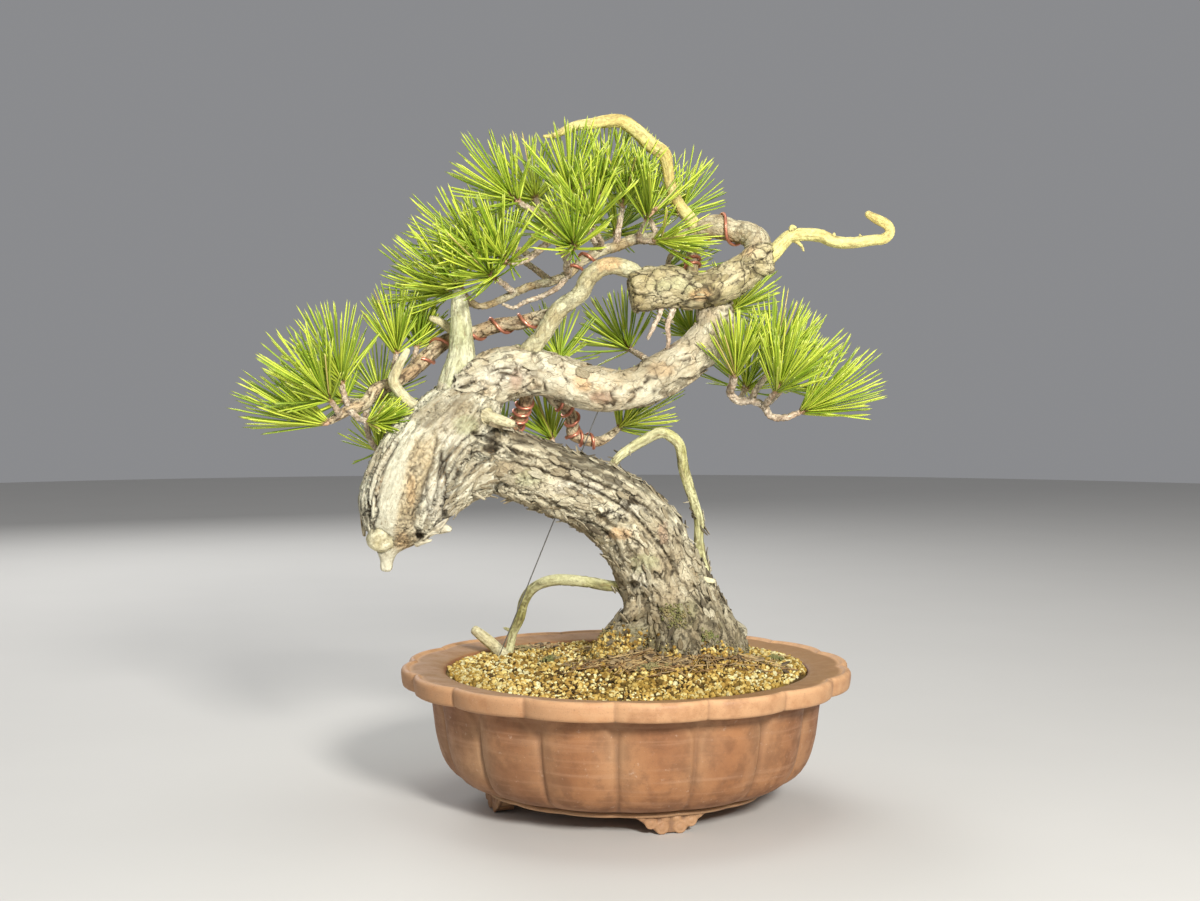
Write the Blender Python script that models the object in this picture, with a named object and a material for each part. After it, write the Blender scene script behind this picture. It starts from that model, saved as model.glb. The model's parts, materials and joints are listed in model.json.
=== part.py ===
"""Japanese red pine bonsai in a round lobed clay pot.

Metres, +Z up, the pot's feet on z = 0 and the front towards -Y. Sizes and routes are named in
millimetres. The tree's routes are drawn on a front view sheet, as they look to an eye 1.5 m in
front of the pot, and each point is then carried along its line of sight to its own depth.
"""

import math
import random

import bmesh
import bpy
import numpy as np

MM = 0.001
GAP = 0.35  # clearance between neighbouring pieces

# The eye of the front view sheet, in millimetres from the pot's axis
EYE_DISTANCE = 1500.0
EYE_HEIGHT = 363.0
EYE_ACROSS = -21.0
EYE_DIP = math.radians(3.04)

# Pot
POT_AXIS_X = 52.0  # puts the whole object's middle on the origin
POT_LOBES = 16
POINTS_A_LOBE = 4
NOTCH_TURN = math.radians(-3.3)
RIM_RADIUS = 180.0
RIM_TOP = 112.5
LIP_INNER_RADIUS = 145.0
FLOOR_TOP = 21.0
FLOOR_UNDERSIDE = 13.0
DRAIN_RADIUS = 17.0
BODY_GROOVE = 4.0
LIP_NOTCH = 3.5
FOOT_RING_RADIUS = 112.0
FOOT_TURNS = (17.0, 107.0, 197.0, 287.0)
FOOT_MIDDLE_RADIUS = 104.0
FOOT_WIDTH = 57.0
FOOT_THICK = 15.0
FOOT_HEIGHT = 17.0
FOOT_BACK_SHARE = 0.9
FOOT_TOE_SET_BACK = 3.0
FOOT_TOE_HEIGHT = 4.0
# Half of a foot's outline: shares of its half width, and heights
FOOT_OUTLINE = [(1.0, FOOT_HEIGHT), (0.93, 11.0), (0.74, 8.0), (0.66, 4.2), (0.5, 3.0), (0.386, 0.6),
                (0.29, 0.0)]

# Soil
SOIL_EDGE_TOP = 107.0
SOIL_POINTS_ROUND = 32
MOUND_MIDDLE = (92.0, 6.0)
MOUND_HEIGHT = 22.0
MOUND_SPREAD = 75.0
MOUND_LUMPS = 1.1
SOIL_EDGE_ROUND = 140.0  # past this radius the surface has no lumps
SOIL_RING_RADII = (130.0, 112.0, 94.0, 76.0, 56.0, 34.0)
SOIL_CLEARANCE = 0.5  # round the roots and stems that stand in it
SCREEN_SIDE = 42.0
SCREEN_THICK = 1.2
SCREEN_BARS = 4
SCREEN_BAR_WIDTH = 2.4

# Needles: each stands for a pair, at the real length, raised from a face of its shoot
SHOOT_RADIUS = 1.9
SHOOT_SIDES = 5
SHOOT_BANDS = 5
SHOOT_BAND_LENGTH = 2.6
SHOOT_TAPER = (1.0, 1.0, 1.0, 1.0, 0.9, 0.55)
SHOOT_PEAK = 0.8
SHOOT_FOLLOW = 0.4  # how much a shoot keeps its twig's way
NEEDLE_REACH = 1.1  # half the width of a needle's foot
NEEDLE_CLEARANCE = 0.4
NEEDLE_TRIES = 60
NEEDLE_INNER_SPREAD = 12.0  # degrees, of the needles at the shoot's tip
NEEDLE_LEAST_SPREAD = 8.0
NEEDLE_LEAN_SPAN = 4.0
NEEDLE_TURN_SPAN = 7.0
NEEDLE_LIFT = 0.06
NEEDLE_LOW_LENGTH = 0.88
NEEDLE_LENGTH_SPAN = (0.93, 1.04)
NEEDLE_FOOT_STRETCH = 4.0  # needles of one shoot may touch this close to it
NEEDLE_SPACING = 1.5

# Wires
COPPER_RADIUS = 1.25
GUY_RADIUS = 0.5
GUY_TOP = (-19, 320, 12.5)
GUY_FOOT = (-103, 112, 58)
WIRE_CLEARANCE = 0.3

# Wood meshes: how far apart the rings of a tube are, in shares of its radius, and at least
THICK_RINGS = (0.9, 9.0)
THIN_RINGS = (2.2, 7.5)
TWIG_RINGS = (2.2, 11.0)
TWIG_SIDES = 4
ROUTE_STEPS = 24
BARK_CLEARANCE = 1.6  # how far a plate may stand out of its limb
TWIG_CLEARANCE = 0.6

BARK = ("bark", (0.42, 0.37, 0.30), 0.9, 0.0)
NEEDLE = ("pine_needle", (0.33, 0.45, 0.06), 0.5, 0.0)
CLAY = ("unglazed_clay", (0.36, 0.17, 0.10), 0.7, 0.0)
SOIL = ("akadama_soil", (0.45, 0.30, 0.10), 0.95, 0.0)
COPPER = ("copper_wire", (0.55, 0.17, 0.09), 0.4, 0.8)
STEEL = ("guy_wire", (0.45, 0.45, 0.45), 0.4, 0.9)
PLASTIC = ("drain_mesh", (0.03, 0.03, 0.03), 0.6, 0.0)

# Wood routes on the front view sheet: across from the pot's axis, up from the feet, depth away
# from the eye, and radius.
TRUNK = [(60, 66, 8, 38), (57, 92, 7, 42), (51, 120, 6, 42), (41, 145, 5, 37), (32, 167, 4, 33),
         (22, 190, 2, 31), (12, 211, 0, 30), (-6, 229, -3, 28), (-25, 241, -6, 26.5),
         (-46, 250, -8, 25.5), (-72, 259, -10, 25), (-98, 269, -13, 23.5), (-124, 279, -16, 21)]
HEAD = [(-116, 326, -14, 19), (-128, 312, -16, 25), (-146, 290, -20, 29), (-160, 266, -24, 31),
        (-172, 241, -27, 29), (-180, 222, -30, 22), (-186, 207, -32, 12), (-190, 196, -33, 5.5),
        (-192, 187, -33, 3.5)]
HEAD_EDGE = [(-184, 284, -22, 9), (-196, 262, -25, 10), (-200, 240, -28, 10), (-200, 222, -29, 8.5),
             (-197, 209, -30, 4)]
HEAD_SPLINTER = [(-158, 222, -30, 7), (-150, 218, -33, 4.5), (-141, 217, -34, 2)]
THROAT = [(-100, 274, -14, 22), (-122, 263, -18, 20), (-138, 249, -24, 15), (-149, 236, -28, 11.5),
          (-154, 226, -30, 7)]
SPIKE = [(-136, 314, -17, 19), (-135, 334, -16, 15), (-132, 352, -14, 11.5), (-132, 372, -12, 9),
         (-133, 392, -11, 7), (-134, 402, -11, 5.5), (-134, 408, -11, 3)]
HOOK_JIN = [(-152, 303, -24, 5), (-166, 313, -26, 4.2), (-178, 323, -26, 4), (-186, 334, -25, 4),
            (-184, 343, -24, 3.6), (-178, 355, -22, 2.8), (-175, 360, -22, 2)]
FRONT_STUB = [(-124, 311, -28, 5), (-104, 305, -37, 4), (-91, 301, -39, 3)]
SIDE_STUB = [(36, 184, 0, 4), (56, 178, -3, 3), (70, 175, -4, 1.8)]
MAIN_LIMB = [(-130, 326, -16, 20), (-101, 340, -14, 20), (-85, 343, -12, 18.5), (-58, 340, -9, 15.5),
             (-33, 331, -6, 16.5), (-2, 328, -2, 15), (21, 336, 2, 16), (39, 346, 5, 15.5),
             (57, 359, 9, 15), (70, 376, 14, 14.5), (70, 393, 18, 13), (66, 406, 16, 10)]
UPPER_LOG = [(10, 408, 0, 16), (34, 411, 2, 15.5), (57, 407, 4, 12.5), (75, 412, 6, 13.5),
             (95, 424, 8, 12), (108, 434, 8, 12), (116, 439, 8, 7)]
CURVED_LIMB = [(104, 432, 12, 10), (105, 446, 20, 10.5), (97, 453, 27, 9.5), (87, 455, 31, 9),
               (71, 459, 35, 9.5), (55, 456, 39, 8), (43, 451, 40, 5.5), (25, 449, 37, 4.6),
               (8, 449, 30, 4.2), (-8, 443, 24, 4), (-21, 439, 18, 3.8), (-37, 430, 14, 3.6),
               (-46, 421, 10, 3.4), (-60, 415, 6, 3.2), (-80, 410, 4, 3), (-101, 400, 6, 2.6),
               (-117, 395, 4, 2.4), (-127, 402, 0, 2.2), (-131, 408, -3, 2.1)]
RIGHT_JIN = [(106, 431, 8, 8), (117, 437, 7, 6.4), (126, 447, 6, 5.5), (134, 452, 4, 5),
             (154, 452, 0, 5), (166, 447, -2, 4.4), (180, 446, -4, 4.2), (197, 448, -6, 4),
             (206, 449, -7, 3.9), (211, 454, -8, 3.7), (209, 460, -9, 3.7), (200, 465, -10, 3.4),
             (193, 469, -11, 2.4)]
TOP_JIN = [(56, 456, 36, 6), (50, 467, 34, 5), (43, 476, 32, 4.4), (36, 490, 28, 4.2),
           (33, 507, 24, 4.6), (30, 517, 20, 5.6), (20, 524, 16, 6), (10, 534, 12, 5.6),
           (-3, 543, 8, 5.2), (-16, 543, 4, 4.8), (-27, 541, 2, 4.2), (-42, 539, 0, 3.4),
           (-57, 532, -3, 2), (-66, 531, -5, 1)]
UPRIGHT = [(54, 408, 12, 5), (53, 428, 26, 4.4), (53, 450, 38, 4.4)]
SMOOTH_BRANCH = [(-84, 346, -12, 8), (-78, 359, -13, 7.5), (-67, 372, -15, 6.6), (-54, 392, -16, 6.8),
                 (-37, 405, -14, 6.5), (-30, 418, -12, 6.8), (-17, 427, -8, 6.8),
                 (-2, 426, -4, 6.8), (7, 422, 0, 6.5), (17, 415, 2, 6.5)]
LEFT_LIMB = [(-54, 390, -14, 5), (-60, 388, -5, 5), (-70, 386, 3, 5), (-85, 382, 9, 5),
             (-102, 380, 15, 5.2), (-118, 375, 19, 5), (-137, 370, 20, 5), (-146, 366, 19, 5.3),
             (-157, 357, 15, 5.6), (-173, 342, 6, 5.2), (-188, 333, 0, 4.8), (-201, 328, -6, 4.6),
             (-208, 318, -11, 4.4), (-221, 313, -14, 4), (-229, 308, -16, 3.2), (-237, 303, -18, 2.3)]
LEFT_NUB = [(-134, 371, 17, 3.6), (-146, 381, 10, 3), (-156, 386, 5, 2.2)]
LIMB_A = [(-78, 336, -8, 6), (-80, 322, 4, 5), (-84, 310, 13, 4.6), (-89, 297, 22, 4.2),
          (-94, 289, 34, 3.4), (-99, 287, 46, 2.3)]
LIMB_B = [(-58, 336, -4, 5.5), (-59, 323, 7, 5), (-48, 314, 17, 4.6), (-43, 303, 24, 4.4),
          (-43, 293, 31, 4.2), (-32, 288, 37, 4), (-22, 287, 41, 3.6), (-14, 291, 45, 3),
          (-7, 297, 48, 2.3)]
RIGHT_BRANCH = [(72, 378, 10, 6), (85, 377, 9, 3.8), (90, 363, 9, 3.5), (83, 351, 9, 3.4),
                (86, 337, 8, 3.3), (83, 326, 6, 3.2), (91, 319, 2, 3.2), (100, 320, -2, 3),
                (110, 315, -4, 3), (116, 307, -4, 2.8), (127, 306, -5, 2.6), (138, 310, -6, 2.3)]
ARCH_LEFT = [(20, 170, 2, 4), (-10, 171, 9, 4.1), (-34, 175, 20, 4.4), (-58, 176, 34, 4.4),
             (-74, 170, 46, 4), (-82, 159, 56, 4), (-85, 146, 64, 3.6), (-90, 135, 70, 3.4),
             (-93, 122, 73, 3.2), (-95, 108, 72, 3)]
ARCH_RIGHT = [(50, 172, 6, 5), (62, 181, 10, 4.4), (60, 193, 14, 3.8), (58, 207, 17, 3.7),
              (58, 224, 18, 3.7), (53, 242, 17, 3.8), (46, 265, 14, 4), (43, 283, 10, 4.1),
              (36, 291, 7, 4.3), (27, 294, 5, 4.2), (16, 289, 4, 3.9), (-2, 278, 2, 3.5),
              (-13, 266, 0, 3.2), (-24, 255, -3, 3)]
ROOT_RIGHT = [(50, 158, 6, 16), (68, 147, 9, 11.5), (80, 139, 12, 8.5), (91, 133, 15, 6.8)]
ROOT_FRONT = [(45, 150, -6, 20), (41, 122, -24, 16), (36, 100, -38, 9)]
ROOT_CORNER = [(58, 150, -4, 18), (72, 120, -18, 14), (80, 98, -28, 8)]
ROOT_FLARE = [(28, 152, 2, 20), (8, 130, 0, 16), (-6, 106, 0, 9)]
ROOT_BACK = [(50, 150, 14, 20), (54, 120, 32, 15), (56, 98, 42, 9)]
ROOT_LEFT = [(34, 96, 12, 11), (-6, 90, 30, 8), (-48, 93, 52, 6.5), (-84, 103, 68, 5.4),
             (-101, 119, 70, 4.7), (-111, 128, 66, 4.7), (-121, 136, 62, 3.8)]
BURL = [(16, 160, -10, 12), (6, 152, -17, 9), (1, 147, -20, 5)]
HANGING_TWIG_A = [(30, 403, 2, 3), (27, 390, -2, 2), (22, 379, -4, 1.8), (17, 369, -5, 1.2)]
HANGING_TWIG_B = [(40, 403, 6, 3.4), (37, 391, 3, 2.4), (33, 380, 1, 2.1), (34, 369, 0, 1.8),
                  (33, 361, 1, 1.4)]
BARE_TWIG = [(-48, 418, 8, 2.6), (-55, 410, 0, 2.2), (-68, 403, -5, 2), (-80, 399, -6, 1.8),
             (-90, 394, -5, 1.6), (-99, 397, -2, 1.2)]
CROWN_BRANCH = [(-21, 439, 18, 3.4), (-26, 450, 14, 3.4), (-36, 461, 8, 3.2), (-54, 464, 2, 3),
                (-66, 469, -2, 2.8), (-79, 474, -6, 2.4), (-85, 478, -8, 2.1)]
FRONT_BRANCH = [(-52, 464, 2, 3), (-55, 455, -6, 2.8), (-63, 446, -12, 2.8), (-76, 435, -16, 2.6),
                (-86, 430, -18, 2.3), (-92, 430, -20, 2.1)]
LIMBS = [
    # route, sides, height of its plates or ridges
    (TRUNK, 16, 1.6), (HEAD, 14, 1.6), (HEAD_EDGE, 6, 0.6), (HEAD_SPLINTER, 5, 0), (THROAT, 9, 0.8),
    (SPIKE, 9, 0.4), (HOOK_JIN, 6, 0), (FRONT_STUB, 6, 0), (SIDE_STUB, 5, 0), (MAIN_LIMB, 12, 0.8),
    (UPPER_LOG, 12, 0.8),
    (CURVED_LIMB, 7, 0), (RIGHT_JIN, 6, 0), (TOP_JIN, 6, 0), (UPRIGHT, 6, 0),
    (SMOOTH_BRANCH, 8, 0), (LEFT_LIMB, 6, 0), (LEFT_NUB, 5, 0), (LIMB_A, 6, 0), (LIMB_B, 6, 0),
    (RIGHT_BRANCH, 6, 0), (ARCH_LEFT, 5, 0), (ARCH_RIGHT, 5, 0), (ROOT_RIGHT, 8, 0.4),
    (ROOT_FRONT, 9, 0.6), (ROOT_CORNER, 9, 0.6), (ROOT_FLARE, 9, 0.6), (ROOT_BACK, 9, 0.6),
    (ROOT_LEFT, 5, 0), (BURL, 7, 0), (HANGING_TWIG_A, 4, 0), (HANGING_TWIG_B, 4, 0),
    (BARE_TWIG, 4, 0), (CROWN_BRANCH, 5, 0), (FRONT_BRANCH, 5, 0)]
BURIED = (TRUNK, ROOT_RIGHT, ROOT_FRONT, ROOT_CORNER, ROOT_FLARE, ROOT_BACK, ROOT_LEFT, ARCH_LEFT)

# Sprays of needles: the twig that carries each, the way it points (across, up, depth), how far
# its needles spread from that way in degrees, and their length.
SPRAYS = {
    "crown": ([(-54, 464, 2, 2.6), (-51, 472, -1, 2.4), (-47, 480, -3, 2.1)], (0, 1, -0.1), 62, 56),
    "crown_right": ([(-36, 461, 8, 2.6), (-27, 472, 12, 2.4), (-21, 483, 15, 2.1)],
                    (0.3, 1, 0.15), 60, 56),
    "crown_left": (CROWN_BRANCH[-3:], (-0.75, 0.7, -0.1), 60, 56),
    "crown_back": ([(-66, 469, -2, 2.6), (-70, 474, 10, 2.4), (-72, 480, 22, 2.1)],
                   (-0.3, 0.8, 0.6), 60, 56),
    "brow": ([(-22, 440, 18, 2.6), (-20, 446, 4, 2.4), (-24, 453, -10, 2.2), (-27, 459, -18, 2.1)],
             (0, 0.9, -0.4), 60, 56),
    "nape": ([(8, 449, 30, 2.8), (12, 455, 20, 2.4), (16, 463, 10, 2.1)], (0.7, 0.75, -0.1), 50, 62),
    "crest": ([(-8, 443, 24, 2.8), (-6, 458, 22, 2.4), (-3, 474, 20, 2.1)], (0.15, 1, 0), 58, 58),
    "middle": (FRONT_BRANCH[-3:], (-0.35, 0.8, -0.45), 76, 56),
    "left_tier": ([(-76, 435, -16, 2.5), (-88, 441, -10, 2.3), (-103, 441, -7, 2.3), (-115, 440, -6, 2.1)],
                  (-0.85, 0.5, 0), 58, 58),
    "left_low": ([(-117, 395, 4, 2.4), (-128, 398, 12, 2.3), (-139, 404, 16, 2.1)],
                 (-1, 0.15, 0.1), 52, 56),
    "left_mid": (CURVED_LIMB[-3:], (-0.75, 0.65, -0.2), 62, 58),
    "nape_back": ([(25, 449, 37, 3), (22, 458, 43, 2.5), (17, 467, 48, 2.1)], (0.3, 0.9, 0.4), 55, 54),
    "under_curve": ([(43, 451, 40, 3), (40, 442, 46, 2.4), (35, 434, 50, 2.3), (33, 427, 55, 2.1)],
                    (1, 0.15, 0.4), 42, 46),
    "ear": ([(8, 449, 30, 2.8), (14, 447, 18, 2.4), (21, 448, 10, 2.1)], (1, 0.05, -0.2), 32, 46),
    "left_back": ([(-60, 415, 6, 2.8), (-72, 424, 22, 2.5), (-86, 434, 34, 2.3), (-97, 441, 42, 2.1)],
                  (-0.6, 0.6, 0.5), 60, 56),
    "middle_back": ([(-46, 421, 10, 2.8), (-48, 432, 26, 2.5), (-55, 445, 42, 2.3), (-59, 453, 52, 2.1)],
                    (-0.2, 0.9, 0.45), 60, 56),
    "right_back": ([(-8, 443, 24, 2.8), (-8, 446, 40, 2.4), (-8, 452, 58, 2.1)],
                   (0.2, 0.7, 0.7), 60, 56),
    "front_low": ([(-46, 421, 10, 2.8), (-48, 426, -4, 2.5), (-46, 434, -20, 2.3), (-43, 440, -32, 2.1)],
                  (0.1, 0.7, -0.7), 58, 50),
    "left_front": ([(-90, 406, 5, 2.6), (-97, 412, -8, 2.3), (-104, 417, -18, 2.1)],
                   (-0.6, 0.5, -0.6), 60, 54),
    "curve_back": ([(55, 456, 39, 3), (50, 462, 53, 2.4), (44, 468, 65, 2.1)], (0.4, 0.7, 0.6), 55, 52),
    "pad_tip": (LEFT_LIMB[-3:], (-1, 0.28, 0), 46, 68),
    "pad_top": ([(-221, 313, -14, 3), (-225, 322, -14, 2.5), (-227, 332, -14, 2.1)],
                (-0.35, 0.95, -0.1), 50, 66),
    "pad_inner": ([(-188, 333, 0, 3), (-186, 345, 4, 2.5), (-184, 356, 6, 2.1)], (-0.1, 1, 0.1), 50, 48),
    "pad_root": ([(-173, 342, 6, 3), (-170, 352, 13, 2.5), (-168, 361, 18, 2.1)],
                 (0.35, 0.95, 0.25), 48, 42),
    "pad_under": ([(-208, 318, -11, 3), (-208, 303, -3, 2.5), (-205, 289, 4, 2.3), (-200, 281, 12, 2.2),
                   (-198, 280, 18, 2.1)], (-0.1, 0.8, 0.6), 56, 46),
    "pad_low": ([(-221, 313, -14, 3), (-215, 306, -20, 2.3), (-208, 303, -25, 2.1)],
                (1, 0.25, -0.2), 40, 30),
    "pad_back": ([(-188, 333, 0, 3), (-192, 329, 14, 2.5), (-196, 324, 28, 2.1)],
                 (-0.1, 0.6, 0.8), 60, 50),
    "pad_heel": ([(-208, 318, -11, 3), (-216, 319, 2, 2.5), (-224, 320, 14, 2.1)],
                 (-0.7, 0.5, 0.5), 55, 60),
    "pad_front": ([(-229, 308, -16, 2.8), (-232, 313, -26, 2.4), (-236, 319, -34, 2.1)],
                  (-0.7, 0.6, -0.5), 52, 60),
    "right_tip": (RIGHT_BRANCH[-3:], (0.85, 0.5, -0.1), 64, 66),
    "right_top": ([(100, 320, -2, 2.8), (105, 330, 0, 2.5), (112, 339, 2, 2.1)], (0.3, 0.95, 0), 50, 64),
    "right_inner": ([(83, 326, 6, 2.8), (85, 331, -4, 2.5), (87, 338, -11, 2.1)],
                    (0.1, 1, -0.15), 40, 48),
    "right_heel": ([(110, 315, -4, 2.8), (118, 322, 8, 2.4), (124, 328, 18, 2.1)],
                   (0.6, 0.75, 0.4), 55, 62),
    "right_front": ([(110, 315, -4, 2.8), (114, 320, -16, 2.3), (119, 326, -26, 2.1)],
                    (0.5, 0.75, -0.5), 55, 60),
    "right_back_pad": ([(91, 319, 2, 2.8), (92, 322, 18, 2.4), (95, 328, 32, 2.1)],
                       (0.2, 0.8, 0.6), 58, 56),
    "back_centre": ([(21, 336, 2, 3.4), (22, 346, 24, 3), (14, 354, 44, 2.6), (4, 360, 57, 2.1)],
                    (-0.6, 0.75, 0.2), 58, 50),
    "back_low_right": (LIMB_B[-3:], (0.7, 0.6, 0.2), 58, 50),
    "back_trunk": ([(-52, 252, -4, 4), (-56, 266, 20, 3.2), (-58, 278, 34, 2.6), (-59, 287, 42, 2.1)],
                   (-0.6, 0.8, 0.3), 52, 44),
    "back_right": ([(57, 359, 9, 3.4), (60, 364, 30, 2.8), (57, 367, 46, 2.4), (54, 370, 58, 2.1)],
                   (-0.3, 0.9, 0.3), 56, 46),
    "back_left": ([(-33, 331, -6, 3.4), (-38, 342, 16, 2.8), (-46, 348, 36, 2.4), (-52, 351, 50, 2.1)],
                  (-0.1, 0.8, 0.6), 58, 50),
    "back_upper": ([(70, 393, 18, 3.2), (76, 392, 33, 2.6), (83, 392, 46, 2.1)],
                   (0.55, 0.75, 0.35), 55, 46),
    "back_low_left": (LIMB_A[-3:], (-0.6, 0.5, 0.6), 56, 48)}

# Copper wires: the limb that each winds round, where on it the wire starts and ends (shares of
# its length) and the rise of one turn
WINDINGS = {
    "wire_left_limb": (LEFT_LIMB, 0.10, 0.59, 24.0),
    "wire_limb_a": (LIMB_A, 0.26, 0.66, 8.0),
    "wire_limb_b": (LIMB_B, 0.20, 0.80, 11.0),
    "wire_curved_limb": (CURVED_LIMB, 0.125, 0.225, 27.0),
    "wire_canopy": (CURVED_LIMB, 0.57, 0.645, 14.0),
    "wire_upright": (UPRIGHT, 0.40, 0.62, 6.0)}


def clear_scene():
    for thing in list(bpy.data.objects):
        bpy.data.objects.remove(thing, do_unlink=True)


def finish(name, colour, roughness, metallic):
    """One Principled material, made once for each name."""
    if name in bpy.data.materials:
        return bpy.data.materials[name]
    made = bpy.data.materials.new(name)
    made.use_nodes = True
    shader = made.node_tree.nodes["Principled BSDF"]
    shader.inputs["Base Color"].default_value = (*colour, 1.0)
    shader.inputs["Roughness"].default_value = roughness
    shader.inputs["Metallic"].default_value = metallic
    made.diffuse_color = (*colour, 1.0)
    return made


def mesh_object(name, points, faces, material=None):
    """An object of these points, in millimetres."""
    mesh = bpy.data.meshes.new(name)
    mesh.from_pydata([tuple(c * MM for c in p) for p in points], [], faces)
    mesh.update()
    made = bpy.data.objects.new(name, mesh)
    bpy.context.scene.collection.objects.link(made)
    if material:
        mesh.materials.append(finish(*material))
    return made


def apply_modifiers(thing):
    """The object's mesh as its modifiers leave it."""
    graph = bpy.context.evaluated_depsgraph_get()
    done = bpy.data.meshes.new_from_object(thing.evaluated_get(graph))
    thing.modifiers.clear()
    thing.data = done


def boolean(thing, operation, others, solver="EXACT", self_crossing=False):
    """Joins or cuts with every shape of others at once, then removes them."""
    group = bpy.data.collections.new(thing.name + "_tools")
    bpy.context.scene.collection.children.link(group)
    for other in others:
        for home in list(other.users_collection):
            home.objects.unlink(other)
        group.objects.link(other)
    step = thing.modifiers.new(operation.lower(), "BOOLEAN")
    step.operation = operation
    step.operand_type = "COLLECTION"
    step.collection = group
    step.solver = solver
    if solver == "EXACT":
        step.use_self = self_crossing
    apply_modifiers(thing)
    for other in others:
        bpy.data.objects.remove(other, do_unlink=True)
    bpy.data.collections.remove(group)


def largest_body(thing):
    """Drops loose scraps that a join leaves beside the main body."""
    shape = bmesh.new()
    shape.from_mesh(thing.data)
    bmesh.ops.dissolve_degenerate(shape, dist=1e-6, edges=shape.edges[:])
    unseen = set(shape.verts)
    bodies = []
    while unseen:
        body = {unseen.pop()}
        edge_of_body = list(body)
        while edge_of_body:
            corner = edge_of_body.pop()
            for edge in corner.link_edges:
                other = edge.other_vert(corner)
                if other in unseen:
                    unseen.discard(other)
                    body.add(other)
                    edge_of_body.append(other)
        bodies.append(body)
    bodies.sort(key=len)
    for scrap in bodies[:-1]:
        bmesh.ops.delete(shape, geom=list(scrap), context="VERTS")
    bmesh.ops.triangulate(shape, faces=shape.faces[:])
    shape.to_mesh(thing.data)
    shape.free()


def from_front(across, up, depth):
    """A point of the front view sheet, carried along its line of sight to its depth."""
    dip_sin = math.sin(EYE_DIP)
    dip_cos = math.cos(EYE_DIP)
    foot_drop = (dip_sin * EYE_DISTANCE - dip_cos * EYE_HEIGHT) / (
        dip_cos * EYE_DISTANCE + dip_sin * EYE_HEIGHT)
    right = (across - EYE_ACROSS) / EYE_DISTANCE
    rise = up / EYE_DISTANCE + foot_drop
    reach = (depth + EYE_DISTANCE) / (dip_cos + rise * dip_sin)
    return np.array([POT_AXIS_X + EYE_ACROSS + right * reach, depth,
                     EYE_HEIGHT + (rise * dip_cos - dip_sin) * reach])


def smooth_route(route, step_share, least_step=3.0):
    """Points and radii along a Catmull-Rom curve, a share of the local thickness apart."""
    knots = np.array([(*from_front(*point[:3]), point[3]) for point in route])
    padded = np.vstack([2 * knots[0] - knots[1], knots, 2 * knots[-1] - knots[-2]])
    fine = []
    for i in range(1, len(padded) - 2):
        a, b, c, d = padded[i - 1:i + 3]
        for t in np.linspace(0, 1, ROUTE_STEPS, endpoint=False):
            fine.append(0.5 * (2 * b + (c - a) * t + (2 * a - 5 * b + 4 * c - d) * t * t
                               + (3 * b - a - 3 * c + d) * t ** 3))
    fine.append(padded[-2])
    fine = np.array(fine)
    lengths = np.linalg.norm(np.diff(fine[:, :3], axis=0), axis=1)
    steps = np.maximum(least_step, step_share * 0.5 * (fine[1:, 3] + fine[:-1, 3]))
    count = np.concatenate([[0], np.cumsum(lengths / steps)])
    rings = max(2, round(count[-1]))
    wanted = np.linspace(0, count[-1], rings + 1)
    return np.array([[np.interp(w, count, fine[:, k]) for k in range(4)] for w in wanted])


def unit(vector):
    return vector / np.linalg.norm(vector)


def end_ways(route):
    """The directions in which a route starts and ends."""
    knots = [from_front(*point[:3]) for point in (*route[:2], *route[-2:])]
    return unit(knots[1] - knots[0]), unit(knots[3] - knots[2])


def frames(points, ways=None):
    """A tangent and two normals at each point, turned as little as possible from one to the next."""
    ahead = np.gradient(points, axis=0)
    ahead[0], ahead[-1] = ways or (points[1] - points[0], points[-1] - points[-2])
    tangents = ahead / np.linalg.norm(ahead, axis=1)[:, None]
    away = np.array([0.0, 1.0, 0.0])
    if abs(tangents[0] @ away) > 0.9:
        away = np.array([0.0, 0.0, 1.0])
    normals = [unit(away - tangents[0] * (tangents[0] @ away))]
    for tangent in tangents[1:]:
        normals.append(unit(normals[-1] - tangent * (normals[-1] @ tangent)))
    normals = np.array(normals)
    return tangents, normals, np.cross(tangents, normals)


def plates(along, turn):
    """The height of the bark plates over the surface, from -1 to 1."""
    wander = 1.3 * math.sin(0.07 * along)
    return 0.55 * math.sin(3 * turn + 0.19 * along + wander) + 0.45 * math.sin(5 * turn - 0.31 * along)


def tube(points, radii, sides, plate=0.0, grow=0.0, ways=None):
    """The points and faces of a closed tube along a route."""
    tangents, normals, sideways = frames(points, ways)
    along = np.concatenate([[0], np.cumsum(np.linalg.norm(np.diff(points, axis=0), axis=1))])
    corners = []
    for i, middle in enumerate(points):
        for k in range(sides):
            turn = 2 * math.pi * (k + 0.5 * (i % 2)) / sides
            radius = radii[i] + plate * plates(along[i], turn) + grow
            corners.append(middle + radius * (math.cos(turn) * normals[i] + math.sin(turn) * sideways[i]))
    faces = [tuple(range(sides))[::-1], tuple(range(len(corners) - sides, len(corners)))]
    for i in range(len(points) - 1):
        low = i * sides
        high = low + sides
        for k in range(sides):
            nxt = (k + 1) % sides
            if i % 2 == 0:
                faces.append((low + k, low + nxt, high + k))
                faces.append((low + nxt, high + nxt, high + k))
            else:
                faces.append((low + k, high + nxt, high + k))
                faces.append((low + k, low + nxt, high + nxt))
    if grow:
        corners[:sides] = [c - tangents[0] * grow for c in corners[:sides]]
        corners[-sides:] = [c + tangents[-1] * grow for c in corners[-sides:]]
    return corners, faces


def limb(name, route, sides, plate, grow=0.0):
    if sides == TWIG_SIDES:
        rings = TWIG_RINGS
    else:
        rings = THICK_RINGS if sides > 9 else THIN_RINGS
    path = smooth_route(route, *rings)
    return mesh_object(name, *tube(path[:, :3], path[:, 3], sides, plate, grow, end_ways(route)))


def lobe(turn):
    """0 in the middle of a lobe, 1 at the groove between two."""
    share = ((turn - NOTCH_TURN) / (2 * math.pi / POT_LOBES)) % 1.0
    return abs(2 * share - 1) ** 3


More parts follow.
